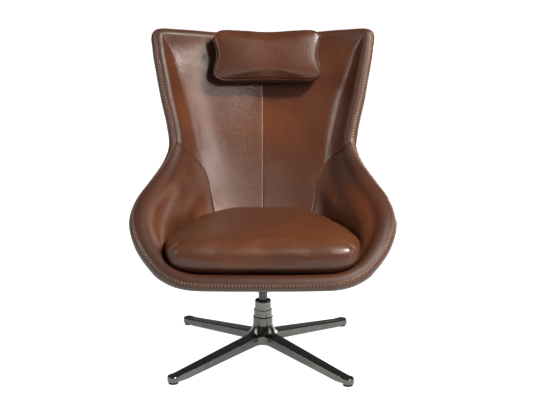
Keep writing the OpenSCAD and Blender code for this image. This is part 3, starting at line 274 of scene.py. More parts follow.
def brushed(name, tone, rough, line, spread=0.10, bump=0.00004):
    """Satin metal: a fine upright grain, with slow clouds in its gloss."""
    f = Finish(name)
    where = f.place()
    grain = f.noise(line, 3.0, 0.6, 0.0, f.moved(where, Scale=(1.0, 1.0, 0.08)))
    clouds = f.noise(0.05, 3.0, 0.6, 0.2, where)
    f.set(Base_Color=f.mix(f.between(clouds, 0.30, 0.70), dimmed(tone, 0.72), tone),
          Metallic=1.0, Roughness=rough + (grain - 0.5) * spread + (clouds - 0.5) * 0.08,
          Normal=f.bump(grain, 0.25, bump))
    return f.material


def cast(name, tone, rough, metal, size, height, coat=0.0):
    """Painted or moulded surface: a fine pebble with slow clouds in its tone."""
    f = Finish(name)
    where = f.place()
    pebble = f.noise(size, 2.0, 0.6, 0.0, where)
    clouds = f.noise(0.03, 3.0, 0.6, 0.3, where)
    f.set(Base_Color=f.mix(f.between(clouds, 0.30, 0.72), dimmed(tone, 0.8), tone),
          Metallic=metal, Roughness=rough + (pebble - 0.5) * 0.12 + (clouds - 0.5) * 0.08,
          Coat_Weight=coat, Coat_Roughness=0.15, Normal=f.bump(pebble, 0.35, height))
    return f.material


def thread(name, tone):
    """Waxed thread: a twist of fine strands across its own length."""
    f = Finish(name)
    strands = f.noise(0.0005, 2.0, 0.6)
    f.set(Base_Color=f.mix(f.between(strands, 0.35, 0.65), dimmed(tone, 0.6), tone),
          Roughness=0.55 + (strands - 0.5) * 0.2, Normal=f.bump(strands, 0.5, 0.0002))
    return f.material


def cloth(name, tone):
    """Plain woven lining cloth: two crossed sets of fine waves."""
    f = Finish(name)
    where = f.place()
    warp, weft = (f.node("ShaderNodeTexWave", {"wave_type": "BANDS", "bands_direction": axis},
                         {"Vector": where, "Scale": 260.0, "Distortion": 0.6, "Detail": 1.0})
                  for axis in "XY")
    weave = warp * 0.5 + weft * 0.5
    f.set(Base_Color=f.mix(weave, dimmed(tone, 0.55), tone), Sheen_Weight=0.2,
          Roughness=0.85 + (weave - 0.5) * 0.1, Normal=f.bump(weave, 0.4, 0.0003))
    return f.material


LINING = leather("lining_leather", colour(0.058, 0.0190, 0.0088), colour(0.079, 0.0255, 0.0114),
                 colour(0.108, 0.0320, 0.0124), 0.25, worn=0.27)
COVER = leather("cover_leather", colour(0.052, 0.0172, 0.0082), colour(0.069, 0.0223, 0.0101),
                colour(0.090, 0.0275, 0.0112), 0.42, (0.7, 0.2, 0.5))
CUSHION = leather("cushion_leather", colour(0.057, 0.0187, 0.0080), colour(0.076, 0.0243, 0.0097),
                  colour(0.101, 0.0300, 0.0106), 0.38, (1.3, 0.4, 0.9))
PILLOW = leather("pillow_leather", colour(0.047, 0.0150, 0.0066), colour(0.063, 0.0200, 0.0084),
                 colour(0.082, 0.0248, 0.0093), 0.34, (2.1, 0.9, 0.3))
BINDING = leather("binding_leather", colour(0.045, 0.0160, 0.0090), colour(0.062, 0.0220, 0.0120),
                  colour(0.080, 0.0270, 0.0140), 0.50, (0.3, 1.1, 0.6))
TAN_THREAD = thread("tan_thread", colour(0.36, 0.20, 0.125))
RIM_THREAD = thread("rim_thread", colour(0.30, 0.175, 0.105))
BROWN_THREAD = thread("brown_thread", colour(0.16, 0.075, 0.04))
BASE_METAL = cast("base_metal", colour(0.100, 0.100, 0.094), 0.24, 1.0, 0.0011, 0.00001, 0.15)
SLEEVE_METAL = brushed("sleeve_metal", colour(0.150, 0.151, 0.138), 0.25, 0.0006, 0.06, 0.00001)
BLACK_TUBE = cast("black_tube", colour(0.030, 0.031, 0.030), 0.25, 0.6, 0.0006, 0.00002, 0.3)
BLACK_FRAME = cast("black_frame", colour(0.022, 0.022, 0.023), 0.42, 0.2, 0.0008, 0.0001)
BLACK_PLASTIC = cast("black_plastic", colour(0.020, 0.020, 0.020), 0.45, 0.0, 0.0007, 0.00012)
GLIDE = cast("glide_rubber", colour(0.025, 0.025, 0.024), 0.75, 0.0, 0.0006, 0.0001)
ZINC = brushed("zinc_steel", colour(0.50, 0.51, 0.52), 0.34, 0.0005)
BRIGHT = brushed("bright_steel", colour(0.60, 0.60, 0.60), 0.20, 0.0004)
SPRING = brushed("spring_steel", colour(0.14, 0.14, 0.15), 0.32, 0.0005)
BRASS = brushed("bearing_brass", colour(0.62, 0.47, 0.20), 0.30, 0.0005)
BUSH = cast("bush_plastic", colour(0.70, 0.67, 0.58), 0.50, 0.0, 0.0008, 0.0001)
# Near-black deck cloth: a dark cloth which, where it shows between the cushion and the lip, also
# stands in for the shade of that gap.
DECK_CLOTH_GAP_SHADE = cloth("deck_cloth", colour(0.035, 0.032, 0.030))
LAMINATE = cast("shell_laminate", colour(0.42, 0.28, 0.16), 0.55, 0.0, 0.004, 0.0002)

CAD_FINISH = {
    BLACK_TUBE: ["gas_cylinder"],
    BLACK_FRAME: ["tilt_housing", "seat_plate", "height_lever"],
    BLACK_PLASTIC: ["tension_knob", "lever_grip", "lock_lever"],
    GLIDE: ["glide_front_left", "glide_front_right", "glide_back_left", "glide_back_right"],
    ZINC: ["plate_bolts", "tee_nuts", "spring_seat", "tension_bolt", "clamp_bolt", "clamp_washer"],
    BRIGHT: ["piston_rod", "lower_race", "upper_race", "release_button", "tilt_pin", "lever_pin"],
    SPRING: ["retaining_clip", "pin_clip"],
    BRASS: ["ball_cage"],
    BUSH: ["pivot_bush_left", "pivot_bush_right", "tension_washer"],
    LAMINATE: ["shell_core"],
}
for material, names in CAD_FINISH.items():
    for name in names:
        slots = NODES[name].data.materials
        slots.clear()
        slots.append(material)


# ---------------------------------------------------------------- mesh words

def piece(name, points, faces, material, body):
    """Smooth mesh object from arrays, riding on a body if one is named."""
    mesh = bpy.data.meshes.new(name)
    faces = faces.tolist() if isinstance(faces, np.ndarray) else faces
    mesh.from_pydata(np.asarray(points).tolist(), [], faces)
    mesh.update()
    mesh.polygons.foreach_set("use_smooth", np.ones(len(mesh.polygons), bool))
    mesh.materials.append(material)
    obj = stand(name, mesh)
    if body:
        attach(obj, body)
    return obj


def quads(rows, columns, wrap=False, flip=False, start=0):
    """Faces of a grid of rows by columns of points; wrap joins the last column to the first."""
    across = columns if wrap else columns - 1
    j, i = np.meshgrid(np.arange(rows - 1), np.arange(across), indexing="ij")
    low, high, k = j * columns, (j + 1) * columns, (i + 1) % columns
    faces = np.stack([low + i, low + k, high + k, high + i], -1).reshape(-1, 4) + start
    return faces[:, ::-1] if flip else faces


def sheet(name, grid, material, body, wrap=False, flip=False):
    """Piece from a grid of points."""
    faces = quads(*grid.shape[:2], wrap=wrap, flip=flip)
    return piece(name, grid.reshape(-1, 3), faces, material, body)


def disc(name, middle, rings, flip, material):
    """Piece of the seat from rings of points round a middle one."""
    rows, columns = rings.shape[:2]
    i = np.arange(columns)
    k = (i + 1) % columns
    fan = np.stack([0 * i, 1 + i, 1 + k] if flip else [0 * i, 1 + k, 1 + i], -1)
    faces = quads(rows, columns, wrap=True, flip=flip, start=1).tolist() + fan.tolist()
    points = np.concatenate([middle, rings.reshape(-1, 3)])
    return piece(name, points, faces, material, "seat")


def closed_rings(name, rings, first, last, material, body):
    """Closed skin over rings between two end points, with its faces outwards."""
    rows, columns = rings.shape[:2]
    points = np.concatenate([first[None], rings.reshape(-1, 3), last[None]])
    i = np.arange(columns)
    k = (i + 1) % columns
    end = rows * columns + 1
    caps = np.concatenate([np.stack([0 * i, 1 + k, 1 + i], -1),
                           np.stack([0 * i + end, end - columns + i, end - columns + k], -1)])
    faces = quads(rows, columns, wrap=True, start=1).tolist() + caps.tolist()
    obj = piece(name, points, faces, material, body)
    outwards = vectors(obj.data.polygons, "center") - points.mean(0)
    if (outwards * vectors(obj.data.polygons, "normal")).sum(1).mean() < 0:
        obj.data.flip_normals()
    return obj


def vectors(items, field):
    """Vectors that a mesh keeps for its vertices or its faces, one to a row."""
    flat = np.zeros(len(items) * 3)
    items.foreach_get(field, flat)
    return flat.reshape(-1, 3)


def set_coordinates(obj, points):
    """Moves the vertices of a piece."""
    obj.data.vertices.foreach_set("co", np.ascontiguousarray(points).ravel())
    obj.data.update()


def face_out(obj, towards):
    """Turns every face if the mean normal points away from a direction."""
    if vectors(obj.data.polygons, "normal").dot(np.array(towards)).mean() < 0:
        obj.data.flip_normals()


def circle(aside, up, sides):
    """Ring of directions round each point of a line, from two directions across it."""
    angle = np.linspace(0, 2 * np.pi, sides, endpoint=False)[None, :, None]
    return aside[:, None] * np.cos(angle) + up[:, None] * np.sin(angle)


def smooth_step(x):
    """Zero up to 0, one from 1, and 3x^2 - 2x^3 between."""
    x = np.clip(x, 0.0, 1.0)
    return x * x * (3.0 - 2.0 * x)


def unit(v):
    """Vectors cut or stretched to a length of one."""
    return v / np.maximum(np.linalg.norm(v, axis=-1, keepdims=True), 1e-12)


def measure(points, axis):
    """Running length along one axis of a grid of points."""
    steps = np.linalg.norm(np.diff(points, axis=axis), axis=-1)
    shape = list(steps.shape)
    shape[axis] = 1
    return np.concatenate([np.zeros(shape), np.cumsum(steps, axis=axis)], axis=axis)


# ---------------------------------------------------------------- the tub's own surface

# One row for each station from the middle of the front lip to the middle of the top edge:
# rim x, y, z; flank x, y, z; root x, z; lining, outside and stuffing, in millimetres.
STATIONS = 0.001 * np.array([
    [0, -335, 325, 0, 30, 306, 0, 290, 22, 19, 0],
    [112, -334, 325, 104, 25, 306, 56, 292, 22, 19, 0],
    [217, -326, 328, 184, 8, 304, 120, 300, 24, 20, 0],
    [283, -298, 346, 222, -24, 302, 176, 315, 28, 21, 4],
    [330, -260, 381, 240, -60, 302, 222, 334, 31, 21, 10],
    [366, -210, 424, 252, -76, 313, 252, 356, 33, 22, 16],
    [384, -145, 472, 260, -56, 340, 268, 380, 33, 24, 20],
    [373, -64, 512, 264, 0, 378, 270, 410, 33, 23, 22],
    [339, 28, 549, 262, 72, 420, 262, 440, 31, 20, 18],
    [305, 106, 589, 255, 147, 472, 246, 472, 29, 18, 8],
    [285, 158, 636, 246, 216, 540, 226, 508, 27, 19, 0],
    [292, 184, 696, 251, 277, 640, 206, 546, 26, 20, 0],
    [312, 212, 768, 265, 308, 735, 185, 584, 26, 20, 0],
    [329, 242, 848, 280, 336, 812, 158, 618, 26, 20, 0],
    [343, 274, 925, 294, 356, 868, 124, 645, 25, 19, 0],
    [340, 304, 974, 290, 358, 872, 90, 662, 24, 19, 0],
    [262, 344, 971, 238, 350, 835, 58, 672, 24, 18, 0],
    [135, 380, 957, 124, 356, 802, 28, 680, 24, 18, 0],
    [0, 392, 952, 0, 360, 790, 0, 684, 24, 18, 0]], float)
LAST = len(STATIONS) - 1
POLE = np.array([0.0, 0.270, 0.520])
BACK_SLOPE = 0.2584
POLE_NORMAL = unit(np.array([0.0, -1.0, BACK_SLOPE]))
POLE_LINING = 0.025
# Height of the stuffed roll behind the rim and depth of the valley beside it, by station.
ROLL = 0.001 * np.array([1.0, 1.0, 1.2, 1.8, 2.4, 2.6, 2.6, 2.4, 2.0, 1.3,
                         0.7, 0.5, 0.5, 0.5, 0.4, 0.2, 0.0, 0.0, 0.0])
VALLEY = 0.001 * np.array([0.6, 0.6, 1.0, 1.8, 2.2, 2.4, 2.2, 1.6, 1.0, 0.6,
                           0.3, 0.2, 0.2, 0.2, 0.1, 0.0, 0.0, 0.0, 0.0])
# Distance to the rim of the roll's and the valley's middles, and the spread of each.
ROLL_PLACE, ROLL_WIDTH, VALLEY_PLACE, VALLEY_WIDTH = 0.022, 0.015, 0.052, 0.018

# The seat deck's outline in the unit disc, the station that each of its points faces,
# and how far the cushion's belt, its widest line, leans out there and how high it is.
DECK_X = np.array([0, 0.090, 0.190, 0.301, 0.383, 0.433, 0.450, 0.435, 0.395, 0.290, 0.138, 0])
DECK_Y = -0.001 * np.array([328, 318, 305, 359, 449, 544, 667, 770, 862, 918, 946, 952])
FACING = np.array([18, 14, 10, 8.3, 6.8, 5.6, 4.4, 3.6, 2.7, 1.8, 0.9, 0])
CUSHION_LEAN = 0.001 * np.array([1080, 1070, 1010, 1000, 1025, 1060,
                                 1105, 1155, 1155, 1150, 1180, 1210])
CUSHION_BELT = 0.001 * np.array([398, 398, 400, 403, 405, 406, 404, 400, 394, 386, 378, 376])
DECK_CENTRE = -0.63
SEAM = 2.0
FRONT = 11.0

# Steps in share and in station over which directions are taken, and the least share for it.
SHARE_STEP, STATION_STEP, LEAST_SHARE = 0.005, 0.02, 0.02
# Share at which the padding begins to grow from the pole's, and the run until it is whole.
EVEN_FROM, EVEN_RUN = 0.06, 0.50
# Share by which the lining thins under the cushion, the height where that starts, the fall
# over which it grows, and where and over what run from the rim it does.
THIN, THIN_TOP, THIN_FALL, THIN_FROM, THIN_RUN = 0.55, 0.440, 0.09, 0.06, 0.11
# Distance to the rim at which the stuffing is full, that at which it ends, and its fall.
PUFF_FULL, PUFF_END, PUFF_FALL = 0.11, 0.23, 0.20
# Height of the shell's flat underside, its lowest point, the round that leads into it and
# the height from which it is left alone.
UNDERSIDE, LOWEST, UNDER_ROUND, UNDER_TOP = 0.302, 0.3015, 0.004, 0.34
NOSE_LENGTH = 0.50
NOSE_POWER = 2.1


def spread(values, at, sign):
    """Smooth cubic curve through a row of values, mirrored with a sign beyond both ends."""
    row = np.concatenate([sign * values[3:0:-1], values, sign * values[-2:-5:-1]])
    at = np.asarray(at, float)
    k = np.floor(at).astype(int)
    f = at - k
    a, b, c, d = (row[k + 2 + n] for n in range(4))
    return 0.5 * (2 * b + (c - a) * f + (2 * a - 5 * b + 4 * c - d) * f ** 2
                  + (3 * b - a - 3 * c + d) * f ** 3)


def lines(u):
    """Control points of the line from the pole to the rim at station u, negative on the
    left, with the lining, the outside and the stuffing there, and its speed at the rim."""
    g = np.where(np.asarray(u) < 0, -1.0, 1.0)
    s = np.abs(u)
    col = [spread(STATIONS[:, k], s, -1.0 if k in (0, 3, 6) else 1.0) for k in range(11)]
    rim = np.stack([g * col[0], col[1], col[2]], -1)
    flank = np.stack([g * col[3], col[4], col[5]], -1)
    root = np.stack([g * col[6], POLE[1] + BACK_SLOPE * (col[7] - POLE[2]), col[7]], -1)
    return root, flank, rim, col[8], col[9], col[10], 3.0 * np.linalg.norm(rim - flank, axis=-1)


def along(c, q):
    """Cubic from the pole by way of the root and the flank to the rim."""
    q = np.asarray(q)[..., None]
    p = 1.0 - q
    return p ** 3 * POLE + 3 * p * p * q * c[0] + 3 * p * q * q * c[1] + q ** 3 * c[2]


def tub(u, q):
    """Point of the shell's middle surface, its normal into the tub, the way out to the rim,
    the padding on both sides and the distance to the rim, for station u and share q."""
    u, q = np.broadcast_arrays(np.asarray(u, float), np.asarray(q, float))
    c = lines(u)
    r = np.maximum(q, LEAST_SHARE)
    out = along(c, r + SHARE_STEP) - along(c, r - SHARE_STEP)
    across = along(lines(u + STATION_STEP), r) - along(lines(u - STATION_STEP), r)
    normal = np.where((q < SHARE_STEP)[..., None], POLE_NORMAL, unit(np.cross(out, across)))
    point = along(c, q)
    d = (1.0 - q) * c[6]
    low = smooth_step((THIN_TOP - point[..., 2]) / THIN_FALL)
    thin = 1.0 - THIN * low * smooth_step((d - THIN_FROM) / THIN_RUN)
    puff = c[5] * smooth_step(d / PUFF_FULL) * (1.0 - smooth_step((d - PUFF_END) / PUFF_FALL))
    even = smooth_step((q - EVEN_FROM) / EVEN_RUN)
    lining = POLE_LINING + (c[3] * thin + puff - POLE_LINING) * even
    return point, normal, unit(out), lining, c[4], d


def rim_round(t, d):
    """Half thickness near the rim: a round nose that is full at NOSE_LENGTH of the thickness."""
    x = np.clip(1.0 - d / (NOSE_LENGTH * t), 0.0, 1.0)
    return 0.5 * t * (1.0 - x ** NOSE_POWER) ** (1 / NOSE_POWER)


def roll(u, d):
    """The edge's stuffed roll and the shallow valley where the panel starts: two bell curves
    of the distance to the rim, whose heights change from station to station."""
    up = spread(ROLL, np.abs(u), 1.0) * np.exp(-((d - ROLL_PLACE) / ROLL_WIDTH) ** 2)
    down = spread(VALLEY, np.abs(u), 1.0) * np.exp(-((d - VALLEY_PLACE) / VALLEY_WIDTH) ** 2)
    return (up - down) * smooth_step(d / 0.012)


def face(u, q, side, lift=0.0):
    """Leather surface: side 1 is the lining, side -1 the outer cover, lifted off by lift. The
    cover runs into a flat underside by a hyperbola."""
    point, normal, _, lining, outside, d = tub(u, q)
    t = lining + outside
    h = rim_round(t, d) + lift
    middle = 0.5 * (lining - outside)
    if side > 0:
        return point + normal * (middle + h + roll(u, d))[..., None]
    p = point + normal * (middle - h)[..., None]
    above = p[..., 2] - UNDERSIDE
    soft = UNDERSIDE + 0.5 * (above + np.sqrt(above ** 2 + UNDER_ROUND ** 2) - UNDER_ROUND)
    p[..., 2] = np.where(p[..., 2] < UNDER_TOP, np.maximum(soft, LOWEST), p[..., 2])
    return p


def reach(u):
    """Speed of each line at the rim, which turns a distance into a share."""
    return lines(u)[6]


def station(x, y):
    """Station and share of a place in the unit disc."""
    return np.degrees(np.arctan2(x, -y)) * LAST / 180.0, np.hypot(x, y)


RIM_BAND = 0.045
# Distances from the rim of the rounded edge's rows, closer and closer, and the distance and
# the height of the three rows that tuck it into the seam.
NOSE = np.concatenate([[0.040, 0.035, 0.030, 0.026],
                       0.022 * (1 - np.sin(np.linspace(0.08, 1.45, 13)))])
TUCK = ((0.0008, 0.0012), (0.004, 0.0006), (0.009, 0.0006))
# Stations over which a column bows beside the arm's seam, and how far it does in x and y.
BOW_RUN, BOW_X, BOW_Y = 0.7, 0.175, 0.30
PANEL_ROWS = np.linspace(0.0, 1.0, 64) ** 1.15


def nose_rows(u, side):
    """Rows of the rounded edge, from the flat of the panel to the seam at the rim, and a
    tuck that follows the middle of the padding back in."""
    rows = [face(u, 1 - d / reach(u), side) for d in NOSE]
    for d, h in TUCK:
        point, normal, _, lining, outside, _ = tub(u, 1 - d / reach(u))
        rows.append(point + normal * (0.5 * (lining - outside) + side * h)[..., None])
    return np.stack(rows)


def column_path(t, v):
    """Place in the unit disc at share v of the way from the deck's outline, at t round it,
    to the roll of the rim: a quadratic curve, bowed beside the seam of the arm."""
    bx, by = spread(DECK_X, t, -1.0), spread(DECK_Y, t, 1.0)
    u = spread(FACING, t, 1.0)
    q = 1.0 - RIM_BAND / reach(u)
    angle = np.radians(u * 180.0 / LAST)
    ex, ey = q * np.sin(angle), -q * np.cos(angle)
    bend = smooth_step(1.0 - np.abs(t - SEAM) / BOW_RUN)
    mx = 0.5 * (bx + ex) - BOW_X * bend
    my = 0.5 * (by + ey) + BOW_Y * bend
    w = 1.0 - v
    return w * w * bx + 2 * w * v * mx + v * v * ex, w * w * by + 2 * w * v * my + v * v * ey


def panel_grid(t):
    """Grid of leather points over the places t, rows from the deck to the seam of the rim."""
    rows = [face(*station(*column_path(t, v)), 1) for v in PANEL_ROWS]
    return np.concatenate([np.stack(rows), nose_rows(spread(FACING, t, 1.0), 1)])


def blurred(grid, down, across):
    """Grid blurred by a number of passes along each axis, with its border held."""
    for axis, passes in ((0, down), (1, across)):
        grid = np.moveaxis(grid, axis, 0)
        for _ in range(passes):
            before = np.concatenate([2 * grid[:1] - grid[1:2], grid[:-1]])
            after = np.concatenate([grid[1:], 2 * grid[-1:] - grid[-2:-1]])
            grid = 0.5 * grid + 0.25 * (before + after)
        grid = np.moveaxis(grid, 0, axis)
    return grid


def eased(grid, down, across, fade):
    """Leather pulled taut over its padding: twice the blur across less the blur of the blur,
    which takes out ripples and keeps the form, and one blur down the panel. It fades to
    nothing towards the roll of the rim."""
    panel = grid[:len(PANEL_ROWS)]
    once = blurred(panel, 0, across)
    taut = blurred(2 * once - blurred(once, 0, across), down, 0)
    run = measure(panel, 0)
    share = smooth_step((run[-1:] - run) / fade)[..., None]
    return np.concatenate([panel + share * (taut - panel), grid[len(PANEL_ROWS):]])


def close_columns(grid):
    """Adds columns inside the two outermost gaps at both seams, for a sharp crease."""
    count = grid.shape[1]
    extra = np.array([0.12, 0.3, 0.55, 1.5])
    at = np.sort(np.concatenate([np.arange(count), extra, count - 1 - extra]))
    low = np.minimum(at.astype(int), count - 2)
    part = (at - low)[None, :, None]
    return grid[:, low] * (1 - part) + grid[:, low + 1] * part


MIRROR = np.array([-1.0, 1.0, 1.0])


def mark_edge(obj, grid, width):
    """Stores how near each point of a panel is to the rim: one at the seam of the rim, and
    nothing beyond a width from it, by the run down each column of the grid. The leather
    darkens by it, as painted shade at the rim, and dulls by it."""
    run = measure(grid, 0)
    share = smooth_step(1.0 - (run[len(PANEL_ROWS) + len(NOSE) - 1] - run) / width)
    obj.data.attributes.new("edge", "FLOAT", "POINT").data.foreach_set("value", share.ravel())


def facing(grid, towards):
    """Unit normals of a grid of points, on the side that faces a direction."""
    normals = unit(np.cross(np.gradient(grid, axis=0), np.gradient(grid, axis=1)))
    return normals * np.sign((normals * np.array(towards)).sum(-1).mean())


def sink(grid, normals, length, depth, width, crease):
    """Draws a panel down to its seam: a soft hollow, depth times e to the minus length over
    width, and a short steep crease."""
    drop = depth * np.exp(-length / width) + crease * np.clip(1 - length / 0.0035, 0, 1) ** 2
    return grid - normals * drop[..., None]


def tucked(grid, normals, depth=0.007):
    """Adds a column that goes down into the seam beside the first and the last column."""
    down = grid - normals * depth
    return np.concatenate([down[:, :1], grid, down[:, -1:]], axis=1)


def back_half():
    """Grid of the right half of the back, from the middle seam to the arm's seam and drawn
    down at both, its normals and its run from the middle. It is eased together with its
    mirror image, so that the two halves run on smoothly."""
    half = panel_grid(np.linspace(0.0, SEAM, 110))
    whole = np.concatenate([(half * MIRROR)[:, :0:-1], half], axis=1)
    whole = eased(whole, down=150, across=340, fade=0.08)
    grid = close_columns(whole[:, half.shape[1] - 1:])
    normals = facing(grid, (0.0, -1.0, 0.3))
    length = measure(grid, 1)
    grid = sink(grid, normals, length, depth=0.0008, width=0.006, crease=0.0012)
    to_arm = length[:, -1:] - length
    grid = sink(grid, normals, to_arm, depth=0.0020, width=0.010, crease=0.0018)
    return grid, normals, length


BACK, BACK_NORMALS, BACK_RUN = back_half()


def make_back(side, name, node):
    """One half of the back: side 1 is the right one, side -1 its mirror image."""
    grid = tucked(BACK, BACK_NORMALS)
    if side < 0:
        grid = grid * MIRROR
    obj = sheet(name, grid, LINING, "seat", flip=side < 0)
    # Band of the rim's painted shade and dullness on the back.
    mark_edge(obj, grid, width=0.060)
    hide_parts(node)
    face_out(obj, (0.0, -1.0, 0.3))


def make_arms():
    """The long panel of both arms and the front lip, from one arm's seam to the other."""
    half = panel_grid(SEAM + (FRONT - SEAM) * np.linspace(0.0, 1.0, 170) ** 1.25)
    whole = np.concatenate([half, (half * MIRROR)[:, -2::-1]], axis=1)
    grid = close_columns(eased(whole, down=10, across=40, fade=0.11))
    normals = facing(grid, (0.0, 0.0, 1.0))
    length = measure(grid, 1)
    for run in (length, length[:, -1:] - length):
        grid = sink(grid, normals, run, depth=0.0014, width=0.010, crease=0.0014)
    grid = tucked(grid, normals)
    obj = sheet("arm_panel", grid, LINING, "seat")
    # The wider band on the arms carries the rim's painted shade further over the front lip.
    mark_edge(obj, grid, width=0.075)
    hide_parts("arm_pad")
    face_out(obj, (0.0, 0.0, 1.0))


# Passes of the blur near the pole, the ring to which it is whole and the rings it fades over.
POLE_PASSES, POLE_RINGS, POLE_FADE = 120, 18.0, 24.0


def taut_rings(rings):
    """Rings round the pole with the small waves taken out: ring n keeps the waves of up to
    about 1.2 + 0.3 n + 10 (n / 40)^4 to the turn, and near the pole it is blurred along the
    lines that cross it."""
    count, columns = rings.shape[:2]
    n = np.arange(count)[:, None]
    limit = 1.2 + 0.3 * n + 10.0 * (n / 40.0) ** 4
    waves = np.fft.rfft(rings, axis=1)
    m = np.arange(waves.shape[1])[None, :]
    rings = np.fft.irfft(waves / (1 + (m / limit) ** 8)[..., None], columns, axis=1)
    soft = rings
    for _ in range(POLE_PASSES):
        inner = np.concatenate([np.roll(soft[:1], columns // 2, axis=1), soft[:-1]])
        outer = np.concatenate([soft[1:], soft[-1:]])
        soft = 0.5 * soft + 0.25 * (inner + outer)
    share = 1 - smooth_step((n[..., None] - POLE_RINGS) / POLE_FADE)
    return rings + share * (soft - rings)


def make_cover():
    """Outer cover: rings round the pole at the back, out to the seam of the rim."""
    u = np.linspace(-LAST, LAST, 361)[:-1]
    flat = [face(u, v * (1 - RIM_BAND / reach(u)), -1) for v in np.linspace(0.0, 1.0, 86)[1:]]
    rings = taut_rings(np.stack(flat))
    obj = disc("tub_cover", rings[0].mean(0)[None], np.concatenate([rings, nose_rows(u, -1)]),
               False, COVER)
    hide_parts("outer_cover")
    face_out(obj, (0.0, 0.3, -1.0))


def around(count):
    """Places round the deck's outline, from the back's middle, and the side of each."""
    turn = np.arange(count) * 2 * FRONT / count
    return np.where(turn > FRONT, 2 * FRONT - turn, turn), np.where(turn > FRONT, 1.0, -1.0)


def deck_ring(t, g, share, lift):
    """Ring of the lining at a share of the way from the deck's middle to its outline."""
    x = share * g * spread(DECK_X, t, -1.0)
    y = DECK_CENTRE + share * (spread(DECK_Y, t, 1.0) - DECK_CENTRE)
    return face(*station(x, y), 1, lift)


def deck_middle(lift):
    """Middle of the deck, as one row of points."""
    return face(*station(np.array([0.0]), np.array([DECK_CENTRE])), 1, lift)


def make_deck():
    """Webbed seat deck under the cushion: rings from its middle to the panels."""
    t, g = around(160)
    rings = [deck_ring(t, g, share, -0.001) for share in np.linspace(0.0, 1.03, 22)[1:]]
    obj = disc("deck_cloth", deck_middle(-0.001), np.stack(rings), True, DECK_CLOTH_GAP_SHADE)
    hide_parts("seat_deck")
    face_out(obj, (0.0, 0.0, 1.0))


make_back(-1, "back_panel_left", "back_pad_left")
make_back(1, "back_panel_right", "back_pad_right")
make_arms()
make_cover()
make_deck()


# ---------------------------------------------------------------- loose cushions

FILL_FRAMES = 20
FILLING = {"quality": 5, "mass": 0.35, "tension_stiffness": 22.0, "compression_stiffness": 22.0,
           "shear_stiffness": 12.0, "use_pressure": True}


def fill(obj, pressure, bend, slack):
    """Runs a few frames of cloth under pressure and keeps the last of them."""
    modifier = obj.modifiers.new("fill", "CLOTH")
    for key, value in FILLING.items():
        setattr(modifier.settings, key, value)
    modifier.settings.bending_stiffness = bend
    modifier.settings.uniform_pressure_force = pressure
    modifier.settings.shrink_min = -slack
    modifier.settings.effector_weights.gravity = 0.0
    modifier.point_cache.frame_start = 1
    modifier.point_cache.frame_end = FILL_FRAMES
    for step in range(1, FILL_FRAMES + 1):
        bpy.context.scene.frame_set(step)
    apply(obj)
    bpy.context.scene.frame_set(1)


def settle(obj, voxel, pressure, cap, bend, slack=0.0, keep=None):
    """Fills a closed case: even mesh, a few frames of cloth under pressure, moves held to
    a cap as its hyperbolic tangent, and one subdivision."""
    bpy.context.view_layer.objects.active = obj
    remesh = obj.modifiers.new("even", "REMESH")
    remesh.mode = "VOXEL"
    remesh.voxel_size = voxel
    remesh.use_smooth_shade = True
    apply(obj)
    start = vectors(obj.data.vertices, "co")
    fill(obj, pressure, bend, slack)
    moved = vectors(obj.data.vertices, "co") - start
    moved -= np.median(moved, axis=0)
    size = np.linalg.norm(moved, axis=1, keepdims=True)
    moved *= np.tanh(size / cap) * cap / np.maximum(size, 1e-9)
    if keep is not None:
        moved *= keep(start)[:, None]
    set_coordinates(obj, start + moved)
    finer = obj.modifiers.new("finer", "SUBSURF")
    finer.levels = finer.render_levels = 1
    apply(obj)
    obj.data.polygons.foreach_set("use_smooth", np.ones(len(obj.data.polygons), bool))


def apply(obj):
    """Puts the result of an object's modifiers into its mesh."""
    graph = bpy.context.evaluated_depsgraph_get()
    mesh = bpy.data.meshes.new_from_object(obj.evaluated_get(graph), depsgraph=graph)
    old = obj.data
    materials = list(old.materials)
    obj.modifiers.clear()
    obj.data = mesh
    mesh.materials.clear()
    for material in materials:
        mesh.materials.append(material)
    mesh.name = obj.name
    bpy.data.meshes.remove(old)


def press_seam(obj, path, depth, width):
    """Draws a surface down along a path: depth times a bell curve of the distance to it."""
    points = vectors(obj.data.vertices, "co")
    low, high = path.min(0) - 4 * width, path.max(0) + 4 * width
    near = np.flatnonzero(((points > low) & (points < high)).all(1))
    nearest = np.concatenate([
        np.sqrt(((part[:, None] - path[None]) ** 2).sum(-1)).min(1)
        for part in np.array_split(points[near], max(1, len(near) // 2000))])
    drop = depth * np.exp(-(nearest / width) ** 2)
    points[near] -= vectors(obj.data.vertices, "normal")[near] * drop[:, None]
    set_coordinates(obj, points)


CUSHION_MIDDLE = -0.080
CUSHION_CROWN = 0.441
# Plan and height powers of the cushion's crowned side, and the heights between which its
# case becomes free to fill.
SIDE_PLAN, SIDE_HEIGHT = 5.6, 3.0
FREE_FROM, FREE_RUN = 0.345, 0.05
# The way out of a front corner, the turn and the step along the edge of each pleat there,
# how far it starts below the belt, rises and goes in, and how deep and wide it is.
CORNER_X, CORNER_Y = 0.72, 0.69
PLEATS = ((-0.50, -0.013), (0.05, 0.0), (0.55, 0.013))
PLEAT_START, PLEAT_RISE, PLEAT_IN = 0.006, 0.050, 0.042
PLEAT_DEPTH, PLEAT_WIDTH = 0.0026, 0.0042


